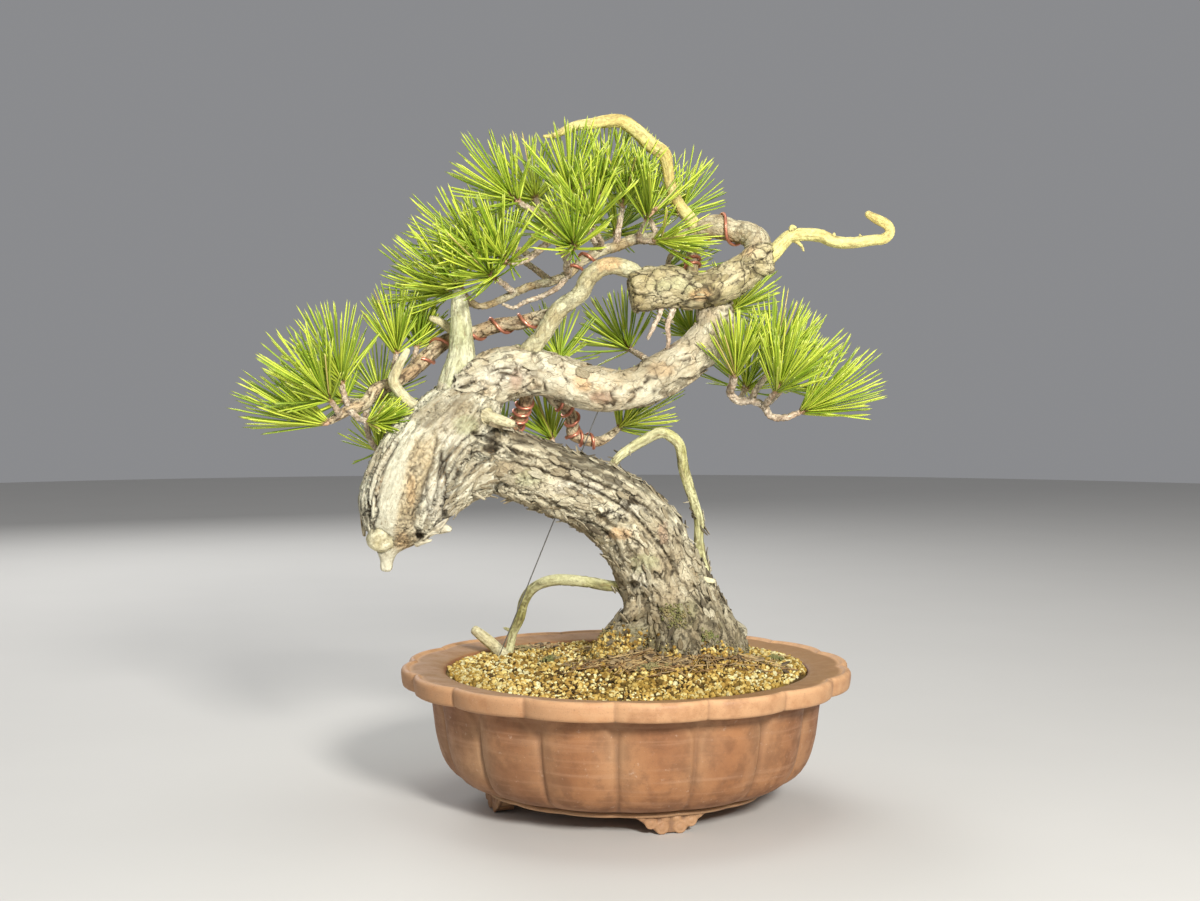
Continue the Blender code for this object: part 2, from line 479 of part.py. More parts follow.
def turned_point(radius, height, turn, groove=0.0):
    """A point round the pot's axis: turn 0 is the front and turns go towards +X."""
    reach = radius - groove * lobe(turn)
    return (POT_AXIS_X + reach * math.sin(turn), -reach * math.cos(turn), height)


# Pot: radius, height and groove depth, from the drain hole out under the floor, up the outside,
# over the lip and down the inside
POT_PROFILE = [
    (DRAIN_RADIUS, FLOOR_UNDERSIDE, 0), (FOOT_RING_RADIUS - 14, FLOOR_UNDERSIDE, 0),
    (FOOT_RING_RADIUS, FLOOR_UNDERSIDE - 1, 0.6), (FOOT_RING_RADIUS - 1.5, FLOOR_UNDERSIDE + 4.5, 1.0),
    (126, 20.5, 2.0), (139, 28, 3.4), (148, 41, BODY_GROOVE), (153, 60, BODY_GROOVE),
    (157, 96, BODY_GROOVE * 0.8), (RIM_RADIUS - 2.5, 97.5, LIP_NOTCH),
    (RIM_RADIUS + 0.5, 110, LIP_NOTCH), (RIM_RADIUS - 3.5, RIM_TOP, LIP_NOTCH),
    (RIM_RADIUS - 9, 111, LIP_NOTCH), (LIP_INNER_RADIUS, 108.5, 0), (LIP_INNER_RADIUS - 1, 78, 0),
    (136, 40, 0), (112, FLOOR_TOP, 0), (DRAIN_RADIUS, FLOOR_TOP, 0)]


def make_pot():
    around = POT_LOBES * POINTS_A_LOBE
    points = []
    for radius, height, groove in POT_PROFILE:
        for k in range(around):
            turn = NOTCH_TURN + 2 * math.pi * k / around
            points.append(turned_point(radius, height, turn, groove))
    faces = []
    for i in range(len(POT_PROFILE)):
        low = i * around
        high = (i + 1) % len(POT_PROFILE) * around
        for k in range(around):
            nxt = (k + 1) % around
            faces.append((low + k, low + nxt, high + nxt, high + k))
    pot = mesh_object("pot", points, faces, CLAY)
    boolean(pot, "UNION", [make_foot(math.radians(turn)) for turn in FOOT_TURNS])
    largest_body(pot)


def make_foot(turn):
    """A cloud-shaped bracket foot: wide at the top, with a scalloped side down to a narrow toe."""
    side = [(share * FOOT_WIDTH / 2, height) for share, height in FOOT_OUTLINE]
    outline = [(-across, height) for across, height in side] + side[::-1]
    points = []
    for face_reach, width_share in ((FOOT_THICK / 2, 1.0), (-FOOT_THICK / 2, FOOT_BACK_SHARE)):
        for across, height in outline:
            reach = FOOT_MIDDLE_RADIUS + face_reach
            if face_reach > 0 and height < FOOT_TOE_HEIGHT:
                reach -= FOOT_TOE_SET_BACK
            aside = width_share * across
            points.append((POT_AXIS_X + reach * math.sin(turn) + aside * math.cos(turn),
                           -reach * math.cos(turn) + aside * math.sin(turn), height))
    count = len(outline)
    faces = [tuple(range(count)), tuple(range(count, 2 * count))[::-1]]
    for k in range(count):
        nxt = (k + 1) % count
        faces.append((nxt, k, count + k, count + nxt))
    foot = mesh_object("foot", points, faces)
    shape = bmesh.new()
    shape.from_mesh(foot.data)
    bmesh.ops.recalc_face_normals(shape, faces=shape.faces[:])
    shape.to_mesh(foot.data)
    shape.free()
    return foot


def soil_height(x, y):
    """The soil's surface: level with the lip's inner edge, mounded up round the trunk."""
    off = math.hypot(x - MOUND_MIDDLE[0], y - MOUND_MIDDLE[1])
    mound = MOUND_HEIGHT * math.exp(-(off / MOUND_SPREAD) ** 2)
    lumps = math.sin(0.21 * x + 1.0) * math.sin(0.17 * y) + 0.6 * math.sin(0.43 * x - 0.37 * y)
    edge = max(0.0, 1 - (math.hypot(x - POT_AXIS_X, y) / SOIL_EDGE_ROUND) ** 6)
    return SOIL_EDGE_TOP + mound + MOUND_LUMPS * lumps * edge


def make_soil():
    wall = [(112 - GAP, FLOOR_TOP + GAP), (136 - GAP, 40), (LIP_INNER_RADIUS - 1 - 1.2 * GAP, 78),
            (LIP_INNER_RADIUS - 1.2 * GAP, SOIL_EDGE_TOP)]
    recess = SCREEN_SIDE * 0.75
    under = [(recess, FLOOR_TOP + GAP + SCREEN_THICK + GAP), (recess, FLOOR_TOP + GAP)]
    around = SOIL_POINTS_ROUND
    points = []
    rings = under + wall + [(radius, None) for radius in SOIL_RING_RADII]
    for radius, height in rings:
        for k in range(around):
            x, y, z = turned_point(radius, 0, 2 * math.pi * k / around)
            points.append((x, y, soil_height(x, y) if height is None else height))
    faces = [tuple(range(around))[::-1]]
    for i in range(len(rings) - 1):
        for k in range(around):
            nxt = (k + 1) % around
            low, high = i * around, (i + 1) * around
            faces.append((low + k, low + nxt, high + nxt))
            faces.append((low + k, high + nxt, high + k))
    middle = len(points)
    points.append((POT_AXIS_X, 0.0, soil_height(POT_AXIS_X, 0.0)))
    last = (len(rings) - 1) * around
    faces += [(last + k, last + (k + 1) % around, middle) for k in range(around)]
    soil = mesh_object("soil", points, faces, SOIL)
    holes = [limb("hole", *shape, SOIL_CLEARANCE) for shape in LIMBS if shape[0] in BURIED]
    guy = guy_wire_points()
    holes.append(mesh_object("hole", *tube(guy, [GUY_RADIUS + GAP] * len(guy), 6, grow=GAP)))
    boolean(soil, "DIFFERENCE", holes, self_crossing=True)
    largest_body(soil)


def make_screen():
    """The plastic mesh over the drain hole: a plate with square openings between its bars."""
    pitch = (SCREEN_SIDE - SCREEN_BAR_WIDTH) / (SCREEN_BARS - 1)
    marks = []
    for k in range(SCREEN_BARS):
        edge = -SCREEN_SIDE / 2 + k * pitch
        marks += [edge, edge + SCREEN_BAR_WIDTH]
    count = len(marks)
    bottom = FLOOR_TOP + GAP
    levels = (bottom, bottom + SCREEN_THICK)
    points = [(POT_AXIS_X + x, y, z) for z in levels for y in marks for x in marks]
    top = count * count
    solid = {(i, j) for i in range(count - 1) for j in range(count - 1) if i % 2 == 0 or j % 2 == 0}
    faces = []
    for i, j in sorted(solid):
        a, b, c, d = (j * count + i, j * count + i + 1, (j + 1) * count + i + 1, (j + 1) * count + i)
        faces.append((d, c, b, a))
        faces.append((a + top, b + top, c + top, d + top))
        edges = ((a, b, (i, j - 1)), (b, c, (i + 1, j)), (c, d, (i, j + 1)), (d, a, (i - 1, j)))
        for start, end, beside in edges:
            if beside not in solid:
                faces.append((start, end, end + top, start + top))
    mesh_object("drain_screen", points, faces, PLASTIC)


def make_wood():
    """Trunk, limbs, dead wood, roots and twigs, grown together as one piece."""
    wood = limb("wood", *LIMBS[0])
    wood.data.materials.append(finish(*BARK))
    parts = [limb("limb", *shape) for shape in LIMBS[1:]]
    for route, *_ in SPRAYS.values():
        if not is_limb_end(route):
            parts.append(limb("twig", route, TWIG_SIDES, 0))
    boolean(wood, "UNION", parts, self_crossing=True)
    largest_body(wood)


def is_limb_end(route):
    """Whether a spray sits on the end of a limb, which then needs no twig of its own."""
    return any(route == longer[-len(route):] for longer, *_ in LIMBS)


def segment_gap(start, end, starts, ends):
    """The shortest distance from one segment to each of many."""
    d1 = end - start
    d2 = ends - starts
    r = start - starts
    a = d1 @ d1
    e = np.maximum((d2 * d2).sum(1), 1e-12)
    f = (d2 * r).sum(1)
    c = r @ d1
    b = d2 @ d1
    scale = a * e - b * b
    s = np.where(scale > 1e-9, np.clip((b * f - c * e) / np.where(scale > 1e-9, scale, 1), 0, 1), 0.0)
    t = np.clip((b * s + f) / e, 0, 1)
    s = np.clip((b * t - c) / a, 0, 1)
    return np.linalg.norm((start + d1 * s[:, None]) - (starts + d2 * t[:, None]), axis=1)


class Obstacles:
    """Capsules that no needle may touch: the wood, the wires and the other sprays."""

    def __init__(self):
        self.rows = []

    def add(self, points, radii, owner):
        for i in range(len(points) - 1):
            self.rows.append((*points[i], *points[i + 1], max(radii[i], radii[i + 1]), owner))

    def clear(self, start, end, radius, owner):
        rows = np.array([row[:7] for row in self.rows if row[7] != owner])
        gaps = segment_gap(start, end, rows[:, :3], rows[:, 3:6])
        return bool((gaps > rows[:, 6] + radius).all())


def shoot_rings(route, aim):
    """The middles of a spray's slim core: on from its twig's end, then the way the spray points."""
    end = from_front(*route[-1][:3])
    on = end_ways(route)[1]
    way = unit(np.array([aim[0], aim[2], aim[1]]) + SHOOT_FOLLOW * on)
    middles = [end + on * GAP]
    for band in range(SHOOT_BANDS):
        lean = min(1.0, band / 2)
        middles.append(middles[-1] + SHOOT_BAND_LENGTH * unit(on * (1 - lean) + way * lean))
    return np.array(middles), way


def make_sprays():
    blocked = Obstacles()
    for route, *_ in LIMBS:
        path = smooth_route(route, 1.0)
        blocked.add(path[:, :3], path[:, 3] + BARK_CLEARANCE, "wood")
    shoots = {}
    for name, (route, aim, *_) in SPRAYS.items():
        path = smooth_route(route, 1.0)
        blocked.add(path[:-1, :3], path[:-1, 3] + TWIG_CLEARANCE, "wood")
        shoots[name] = shoot_rings(route, aim)
        middles = shoots[name][0]
        blocked.add(middles, [SHOOT_RADIUS + WIRE_CLEARANCE] * len(middles), name)
    for name in WINDINGS:
        points = winding_points(name)
        blocked.add(points, [COPPER_RADIUS + WIRE_CLEARANCE] * len(points), name)
    guy = guy_wire_points()
    blocked.add(guy, [GUY_RADIUS + WIRE_CLEARANCE] * len(guy), "guy_wire")
    for number, (name, (_, _, spread, length)) in enumerate(SPRAYS.items()):
        make_spray(name, number, shoots[name], spread, length, blocked)


def make_spray(name, number, shoot, spread, length, blocked):
    """A slim core whose faces are drawn out into needles, every second face all the way round."""
    chance = random.Random(100 + number)
    middles, way = shoot
    radii = [SHOOT_RADIUS * share for share in SHOOT_TAPER]
    corners, faces = tube(middles, radii, SHOOT_SIDES)
    base, cap, sides = faces[0], faces[1], faces[2:]
    corners.append(middles[-1] + way * SHOOT_RADIUS * SHOOT_PEAK)
    peak = len(corners) - 1
    tip_faces = [(cap[k], cap[(k + 1) % SHOOT_SIDES], peak) for k in range(SHOOT_SIDES)]
    solid = [base]
    own = []
    for i, face in enumerate(sides + tip_faces):
        band = min(i // (2 * SHOOT_SIDES), SHOOT_BANDS)
        if band < SHOOT_BANDS and i % 2 == band % 2:
            solid.append(face)
            continue
        foot = np.mean([corners[c] for c in face], axis=0)
        out = foot - middles[min(band, SHOOT_BANDS)]
        out = unit(out - way * (out @ way))
        share = (band + 0.5) / (SHOOT_BANDS + 1)
        tip = clear_tip(foot, out, way, share, spread, length, blocked, own, name, chance)
        if tip is None:
            solid.append(face)
            continue
        corners.append(tip)
        for k in range(3):
            solid.append((face[k], face[(k + 1) % 3], len(corners) - 1))
    mesh_object("needles_" + name, corners, solid, NEEDLE)


def clear_tip(foot, out, way, share, spread, length, blocked, own, name, chance):
    """Where a needle ends: near its own lean, bent until it touches nothing."""
    across = np.cross(way, out)
    for attempt in range(NEEDLE_TRIES):
        loose = 1 + attempt / 10
        lean = spread + (NEEDLE_INNER_SPREAD - spread) * share
        lean += chance.uniform(-NEEDLE_LEAN_SPAN, NEEDLE_LEAN_SPAN) * loose
        lean = math.radians(max(lean, NEEDLE_LEAST_SPREAD))
        turn = math.radians(chance.uniform(-NEEDLE_TURN_SPAN, NEEDLE_TURN_SPAN) * loose)
        side = math.cos(turn) * out + math.sin(turn) * across
        reach = unit(math.cos(lean) * way + math.sin(lean) * side + np.array([0, 0, NEEDLE_LIFT]))
        long_share = NEEDLE_LOW_LENGTH + (1 - NEEDLE_LOW_LENGTH) * share
        tip = foot + reach * length * long_share * chance.uniform(*NEEDLE_LENGTH_SPAN)
        if not blocked.clear(foot, tip, NEEDLE_REACH + NEEDLE_CLEARANCE, name):
            continue
        outer = foot + reach * NEEDLE_FOOT_STRETCH
        if own:
            rows = np.array(own)
            if (segment_gap(outer, tip, rows[:, :3], rows[:, 3:]) < NEEDLE_SPACING).any():
                continue
        own.append((*outer, *tip))
        blocked.rows.append((*foot, *tip, NEEDLE_REACH, name))
        return tip
    return None


def winding_points(name, a_turn=7):
    """A wire's route round its limb, clear of the limb at the middle of each chord too."""
    route, start, end, rise = WINDINGS[name]
    path = smooth_route(route, 0.01, 1.0)
    along = np.concatenate([[0], np.cumsum(np.linalg.norm(np.diff(path[:, :3], axis=0), axis=1))])
    first, last = start * along[-1], end * along[-1]
    steps = max(2, round((last - first) / rise * a_turn))
    _, normals, sideways = frames(path[:, :3])
    points = []
    for k in range(steps + 1):
        at = first + (last - first) * k / steps
        i = int(np.searchsorted(along, at))
        turn = 2 * math.pi * (at - first) / rise
        reach = (path[i, 3] + GAP + COPPER_RADIUS) / math.cos(math.pi / a_turn)
        points.append(path[i, :3] + reach * (math.cos(turn) * normals[i] + math.sin(turn) * sideways[i]))
    return np.array(points)


def make_windings():
    for name in WINDINGS:
        points = winding_points(name)
        mesh_object(name, *tube(points, [COPPER_RADIUS] * len(points), 4), COPPER)


def guy_wire_points():
    """Straight from the back of the main limb down into the soil behind the trunk."""
    top = from_front(*GUY_TOP)
    foot = from_front(*GUY_FOOT)
    return np.array([top, (top + foot) / 2, foot])


def make_guy_wire():
    points = guy_wire_points()
    mesh_object("guy_wire", *tube(points, [GUY_RADIUS] * len(points), 5), STEEL)


clear_scene()
make_pot()
make_screen()
make_soil()
make_wood()
make_windings()
make_guy_wire()
make_sprays()
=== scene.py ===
"""Japanese red pine bonsai in a round lobed clay pot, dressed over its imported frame.

Laid out as an add-on: each operator models one piece or one group of like pieces. Sizes of shapes
and routes are in millimetres. The tree's routes are drawn on a front view sheet, as they look to
an eye 1.5 m in front of the pot, and each point is carried along its line of sight to its depth.
"""

import json
import math
from itertools import product
from types import SimpleNamespace

import bpy
import numpy as np
from bpy.props import FloatProperty, FloatVectorProperty, IntProperty, PointerProperty
from bpy.types import Operator, Panel, PropertyGroup
from mathutils.bvhtree import BVHTree
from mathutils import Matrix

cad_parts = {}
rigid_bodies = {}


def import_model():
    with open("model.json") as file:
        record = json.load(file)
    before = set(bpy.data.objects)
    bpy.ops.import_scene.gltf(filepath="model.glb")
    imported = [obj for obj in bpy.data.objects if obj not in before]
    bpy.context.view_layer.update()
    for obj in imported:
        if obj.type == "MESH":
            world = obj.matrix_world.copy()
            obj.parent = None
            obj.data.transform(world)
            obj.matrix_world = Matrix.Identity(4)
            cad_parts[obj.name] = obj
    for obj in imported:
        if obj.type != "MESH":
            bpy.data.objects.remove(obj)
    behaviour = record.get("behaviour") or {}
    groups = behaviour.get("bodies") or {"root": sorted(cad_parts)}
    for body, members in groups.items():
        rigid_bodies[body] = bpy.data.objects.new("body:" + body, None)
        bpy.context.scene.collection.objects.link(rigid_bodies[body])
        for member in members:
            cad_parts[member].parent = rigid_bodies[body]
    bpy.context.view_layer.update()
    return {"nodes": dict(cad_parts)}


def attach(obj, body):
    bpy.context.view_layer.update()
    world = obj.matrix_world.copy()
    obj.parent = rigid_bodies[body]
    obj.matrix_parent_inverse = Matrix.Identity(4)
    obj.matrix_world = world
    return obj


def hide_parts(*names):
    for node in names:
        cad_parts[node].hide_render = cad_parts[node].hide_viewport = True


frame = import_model()

bl_info = {
    "name": "Japanese red pine bonsai",
    "version": (1, 0, 0),
    "blender": (4, 5, 0),
    "location": "View3D > Sidebar > Bonsai",
    "description": "Models a bonsai pine in its pot over a packed frame",
    "category": "Add Mesh",
}

MM = 0.001
TAU = 2 * math.pi

# The eye of the front view sheet, in millimetres from the pot's axis
EYE_DISTANCE = 1500.0
EYE_HEIGHT = 363.0
EYE_ACROSS = -21.0
EYE_DIP = math.radians(3.04)
POT_AXIS_X = 52.0
DIP_SIN, DIP_COS = math.sin(EYE_DIP), math.cos(EYE_DIP)

# How far the pot's feet are from the eye's axis, as a slope
FEET_SLOPE = ((DIP_SIN * EYE_DISTANCE - DIP_COS * EYE_HEIGHT)
              / (DIP_COS * EYE_DISTANCE + DIP_SIN * EYE_HEIGHT))

# Wood routes on the front view sheet: across from the pot's axis, up from the feet, depth away
# from the eye, and radius
TRUNK = [(60, 66, 8, 38), (57, 92, 7, 42), (51, 120, 6, 42), (41, 145, 5, 37), (32, 167, 4, 33),
         (22, 190, 2, 31), (12, 211, 0, 30), (-6, 229, -3, 28), (-25, 241, -6, 26.5),
         (-46, 250, -8, 25.5), (-72, 259, -10, 25), (-98, 269, -13, 23.5), (-124, 279, -16, 21)]
HEAD_SPLINTER = [(-158, 222, -30, 7), (-150, 218, -33, 4.5), (-141, 217, -34, 2)]
THROAT = [(-100, 274, -14, 22), (-122, 263, -18, 20), (-138, 249, -24, 15), (-149, 236, -28, 11.5),
          (-154, 226, -30, 7)]
SPIKE = [(-136, 314, -17, 19), (-135, 334, -16, 15), (-132, 352, -14, 11.5), (-132, 372, -12, 9),
         (-133, 392, -11, 7), (-134, 402, -11, 5.5), (-134, 408, -11, 3)]
HOOK_JIN = [(-152, 303, -24, 5), (-166, 313, -26, 4.2), (-178, 323, -26, 4), (-186, 334, -25, 4),
            (-184, 343, -24, 3.6), (-178, 355, -22, 2.8), (-175, 360, -22, 2)]
FRONT_STUB = [(-124, 311, -28, 5), (-104, 305, -37, 4), (-91, 301, -39, 3)]
SIDE_STUB = [(36, 184, 0, 4), (56, 178, -3, 3), (70, 175, -4, 1.8)]
MAIN_LIMB = [(-130, 326, -16, 20), (-101, 340, -14, 20), (-85, 343, -12, 18.5), (-58, 340, -9, 15.5),
             (-33, 331, -6, 16.5), (-2, 328, -2, 15), (21, 336, 2, 16), (39, 346, 5, 15.5),
             (57, 359, 9, 15), (70, 376, 14, 14.5), (70, 393, 18, 13), (66, 406, 16, 10)]
UPPER_LOG = [(10, 408, 0, 16), (34, 411, 2, 15.5), (57, 407, 4, 12.5), (75, 412, 6, 13.5),
             (95, 424, 8, 12), (108, 434, 8, 12), (116, 439, 8, 7)]
CURVED_LIMB = [(104, 432, 12, 10), (105, 446, 20, 10.5), (97, 453, 27, 9.5), (87, 455, 31, 9),
               (71, 459, 35, 9.5), (55, 456, 39, 8), (43, 451, 40, 5.5), (25, 449, 37, 4.6),
               (8, 449, 30, 4.2), (-8, 443, 24, 4), (-21, 439, 18, 3.8), (-37, 430, 14, 3.6),
               (-46, 421, 10, 3.4), (-60, 415, 6, 3.2), (-80, 410, 4, 3), (-101, 400, 6, 2.6),
               (-117, 395, 4, 2.4), (-127, 402, 0, 2.2), (-131, 408, -3, 2.1)]
RIGHT_JIN = [(106, 431, 8, 8), (117, 437, 7, 6.4), (126, 447, 6, 5.5), (134, 452, 4, 5),
             (154, 452, 0, 5), (166, 447, -2, 4.4), (180, 446, -4, 4.2), (197, 448, -6, 4),
             (206, 449, -7, 3.9), (211, 454, -8, 3.7), (209, 460, -9, 3.7), (200, 465, -10, 3.4),
             (193, 469, -11, 2.4)]
TOP_JIN = [(56, 456, 36, 6), (50, 467, 34, 5), (43, 476, 32, 4.4), (36, 490, 28, 4.2),
           (33, 507, 24, 4.6), (30, 517, 20, 5.6), (20, 524, 16, 6), (10, 534, 12, 5.6),
           (-3, 543, 8, 5.2), (-16, 543, 4, 4.8), (-27, 541, 2, 4.2), (-42, 539, 0, 3.4),
           (-57, 532, -3, 2), (-66, 531, -5, 1)]
UPRIGHT = [(54, 408, 12, 5), (53, 428, 26, 4.4), (53, 450, 38, 4.4)]
SMOOTH_BRANCH = [(-84, 346, -12, 8), (-78, 359, -13, 7.5), (-67, 372, -15, 6.6), (-54, 392, -16, 6.8),
                 (-37, 405, -14, 6.5), (-30, 418, -12, 6.8), (-17, 427, -8, 6.8),
                 (-2, 426, -4, 6.8), (7, 422, 0, 6.5), (17, 415, 2, 6.5)]
LEFT_LIMB = [(-54, 390, -14, 5), (-60, 388, -5, 5), (-70, 386, 3, 5), (-85, 382, 9, 5),
             (-102, 380, 15, 5.2), (-118, 375, 19, 5), (-137, 370, 20, 5), (-146, 366, 19, 5.3),
             (-157, 357, 15, 5.6), (-173, 342, 6, 5.2), (-188, 333, 0, 4.8), (-201, 328, -6, 4.6),
             (-208, 318, -11, 4.4), (-221, 313, -14, 4), (-229, 308, -16, 3.2), (-237, 303, -18, 2.3)]
LEFT_NUB = [(-134, 371, 17, 3.6), (-146, 381, 10, 3), (-156, 386, 5, 2.2)]
LIMB_A = [(-78, 336, -8, 6), (-80, 322, 4, 5), (-84, 310, 13, 4.6), (-89, 297, 22, 4.2),
          (-94, 289, 34, 3.4), (-99, 287, 46, 2.3)]
LIMB_B = [(-58, 336, -4, 5.5), (-59, 323, 7, 5), (-48, 314, 17, 4.6), (-43, 303, 24, 4.4),
          (-43, 293, 31, 4.2), (-32, 288, 37, 4), (-22, 287, 41, 3.6), (-14, 291, 45, 3),
          (-7, 297, 48, 2.3)]
RIGHT_BRANCH = [(72, 378, 10, 6), (85, 377, 9, 3.8), (90, 363, 9, 3.5), (83, 351, 9, 3.4),
                (86, 337, 8, 3.3), (83, 326, 6, 3.2), (91, 319, 2, 3.2), (100, 320, -2, 3),
                (110, 315, -4, 3), (116, 307, -4, 2.8), (127, 306, -5, 2.6), (138, 310, -6, 2.3)]
ARCH_LEFT = [(20, 170, 2, 4), (-10, 171, 9, 4.1), (-34, 175, 20, 4.4), (-58, 176, 34, 4.4),
             (-74, 170, 46, 4), (-82, 159, 56, 4), (-85, 146, 64, 3.6), (-90, 135, 70, 3.4),
             (-93, 122, 73, 3.2), (-95, 108, 72, 3)]
ARCH_RIGHT = [(50, 172, 6, 5), (62, 181, 10, 4.4), (60, 193, 14, 3.8), (58, 207, 17, 3.7),
              (58, 224, 18, 3.7), (53, 242, 17, 3.8), (46, 265, 14, 4), (43, 283, 10, 4.1),
              (36, 291, 7, 4.3), (27, 294, 5, 4.2), (16, 289, 4, 3.9), (-2, 278, 2, 3.5),
              (-13, 266, 0, 3.2), (-24, 255, -3, 3)]
ROOT_RIGHT = [(50, 158, 6, 16), (68, 147, 9, 11.5), (80, 139, 12, 8.5), (91, 133, 15, 6.8)]
ROOT_FRONT = [(45, 150, -6, 20), (41, 122, -24, 16), (36, 100, -38, 9)]
ROOT_CORNER = [(58, 150, -4, 18), (72, 120, -18, 14), (80, 98, -28, 8)]
ROOT_FLARE = [(28, 152, 2, 20), (8, 130, 0, 16), (-6, 106, 0, 9)]
ROOT_BACK = [(50, 150, 14, 20), (54, 120, 32, 15), (56, 98, 42, 9)]
ROOT_LEFT = [(34, 96, 12, 11), (-6, 90, 30, 8), (-48, 93, 52, 6.5), (-84, 103, 68, 5.4),
             (-101, 119, 70, 4.7), (-111, 128, 66, 4.7), (-121, 136, 62, 3.8)]
BURL = [(16, 160, -10, 12), (6, 152, -17, 9), (1, 147, -20, 5)]
HANGING_TWIG_A = [(30, 403, 2, 3), (27, 390, -2, 2), (22, 379, -4, 1.8), (17, 369, -5, 1.2)]
HANGING_TWIG_B = [(40, 403, 6, 3.4), (37, 391, 3, 2.4), (33, 380, 1, 2.1), (34, 369, 0, 1.8),
                  (33, 361, 1, 1.4)]
BARE_TWIG = [(-48, 418, 8, 2.6), (-55, 410, 0, 2.2), (-68, 403, -5, 2), (-80, 399, -6, 1.8),
             (-90, 394, -5, 1.6), (-99, 397, -2, 1.2)]
CROWN_BRANCH = [(-21, 439, 18, 3.4), (-26, 450, 14, 3.4), (-36, 461, 8, 3.2), (-54, 464, 2, 3),
                (-66, 469, -2, 2.8), (-79, 474, -6, 2.4), (-85, 478, -8, 2.1)]
FRONT_BRANCH = [(-52, 464, 2, 3), (-55, 455, -6, 2.8), (-63, 446, -12, 2.8), (-76, 435, -16, 2.6),
                (-86, 430, -18, 2.3), (-92, 430, -20, 2.1)]

# Small dead pieces that only the dressed tree has: snags on the jins, a torn lip, a nub, a skirt of
# root, and the head's whole form with its knob and slivers
JIN_SNAGS = [
    [(136, 452, 3, 1.6), (133, 455, 2, 1.3), (131, 458, 1, 1.1), (133, 459.5, 1, 1), (136, 458, 1, 0.7)],
    [(134, 448, 3, 1.5), (138, 445.5, 2, 1.2), (141, 442, 1, 1), (141.5, 438.5, 1, 0.7)],
    [(166, 448, -2, 1.6), (166.4, 453.4, -3, 0.9)],
    [(186, 446, -5, 1.6), (187.4, 452.6, -6, 0.9)],
    [(14, 530, 14, 1.8), (16.5, 535, 13, 1)]]
LOG_LIP = [(98, 428, 4, 9), (110, 426, 3, 6.5), (117, 424, 3, 2.6)]
ARCH_NUB = [(-93, 136, 70, 1.6), (-98, 138, 69, 0.9)]
ROOT_SKIRT = [(14, 140, -2, 19), (-4, 126, -8, 16), (-17, 116, -12, 12), (-29, 109, -15, 7)]
HEAD_WHOLE = [(-116, 326, -14, 19), (-129, 312, -16, 25.5), (-149, 290, -20, 31), (-165, 266, -24, 34),
              (-177, 243, -27, 32.5), (-184, 224, -29, 27), (-189, 210, -31, 17), (-191, 200, -33, 8),
              (-191.5, 192, -33, 4.6), (-192, 186, -33, 4.2)]
HEAD_KNOB = [(-195, 211, -26, 11), (-196, 210, -38, 11), (-196.5, 209, -46, 9)]
HEAD_SLIVERS = [
    [(-199, 270, -22, 2.6), (-207, 254, -26, 2.2), (-211, 240, -27, 1.8), (-210.5, 222, -28, 1.7),
     (-209.5, 211, -29, 0.9)],
    [(-196, 262, -38, 2.4), (-203, 246, -42, 2.0), (-206, 230, -43, 1.8), (-205.5, 216, -42, 1)],
    [(-122, 246, -34, 1.6), (-116, 242.5, -36, 1.1), (-112, 240, -36, 0.7)],
    [(-154, 217, -36, 2.6), (-147, 221.5, -37, 1.7), (-142, 226, -37, 0.7)],
    [(-164, 209, -36, 2.4), (-156, 213.5, -38, 1.8), (-149, 214.5, -38, 0.7)],
    [(-168, 205, -35, 2.2), (-161, 207, -38, 1.5), (-155, 208, -38, 0.6)],
    [(-147, 232, -36, 2.2), (-140, 238, -37, 1.4), (-136, 238.5, -37, 0.6)]]

# Each limb's route and the kind of wood that it shows
LIMBS = [
    (TRUNK, "old_bark"), (HEAD_WHOLE, "dead_head"), (HEAD_KNOB, "knob"), (HEAD_SPLINTER, "shard"),
    (THROAT, "dead_head"), (SPIKE, "spike"), (HOOK_JIN, "bare"), (FRONT_STUB, "bare"),
    (SIDE_STUB, "bare"), (MAIN_LIMB, "plates"), (UPPER_LOG, "log"), (CURVED_LIMB, "curved"),
    (RIGHT_JIN, "yellow_jin"), (TOP_JIN, "yellow_jin"), (UPRIGHT, "curved"),
    (SMOOTH_BRANCH, "smooth_branch"), (LEFT_LIMB, "young"), (LEFT_NUB, "bare"), (LIMB_A, "young"),
    (LIMB_B, "young"), (RIGHT_BRANCH, "twig"), (ARCH_LEFT, "arch"), (ARCH_RIGHT, "arch"),
    (ROOT_RIGHT, "dead_head"), (ROOT_FRONT, "old_bark"), (ROOT_CORNER, "old_bark"),
    (ROOT_FLARE, "old_bark"), (ROOT_SKIRT, "old_bark"), (ROOT_BACK, "old_bark"), (ROOT_LEFT, "bare"),
    (BURL, "old_bark"), (HANGING_TWIG_A, "twig"), (HANGING_TWIG_B, "twig"), (BARE_TWIG, "twig"),
    (CROWN_BRANCH, "twig"), (FRONT_BRANCH, "twig")]
LIMBS += [(snag, "yellow_jin") for snag in JIN_SNAGS] + [(LOG_LIP, "log"), (ARCH_NUB, "arch")]
LIMBS += [(sliver, "shard") for sliver in HEAD_SLIVERS]

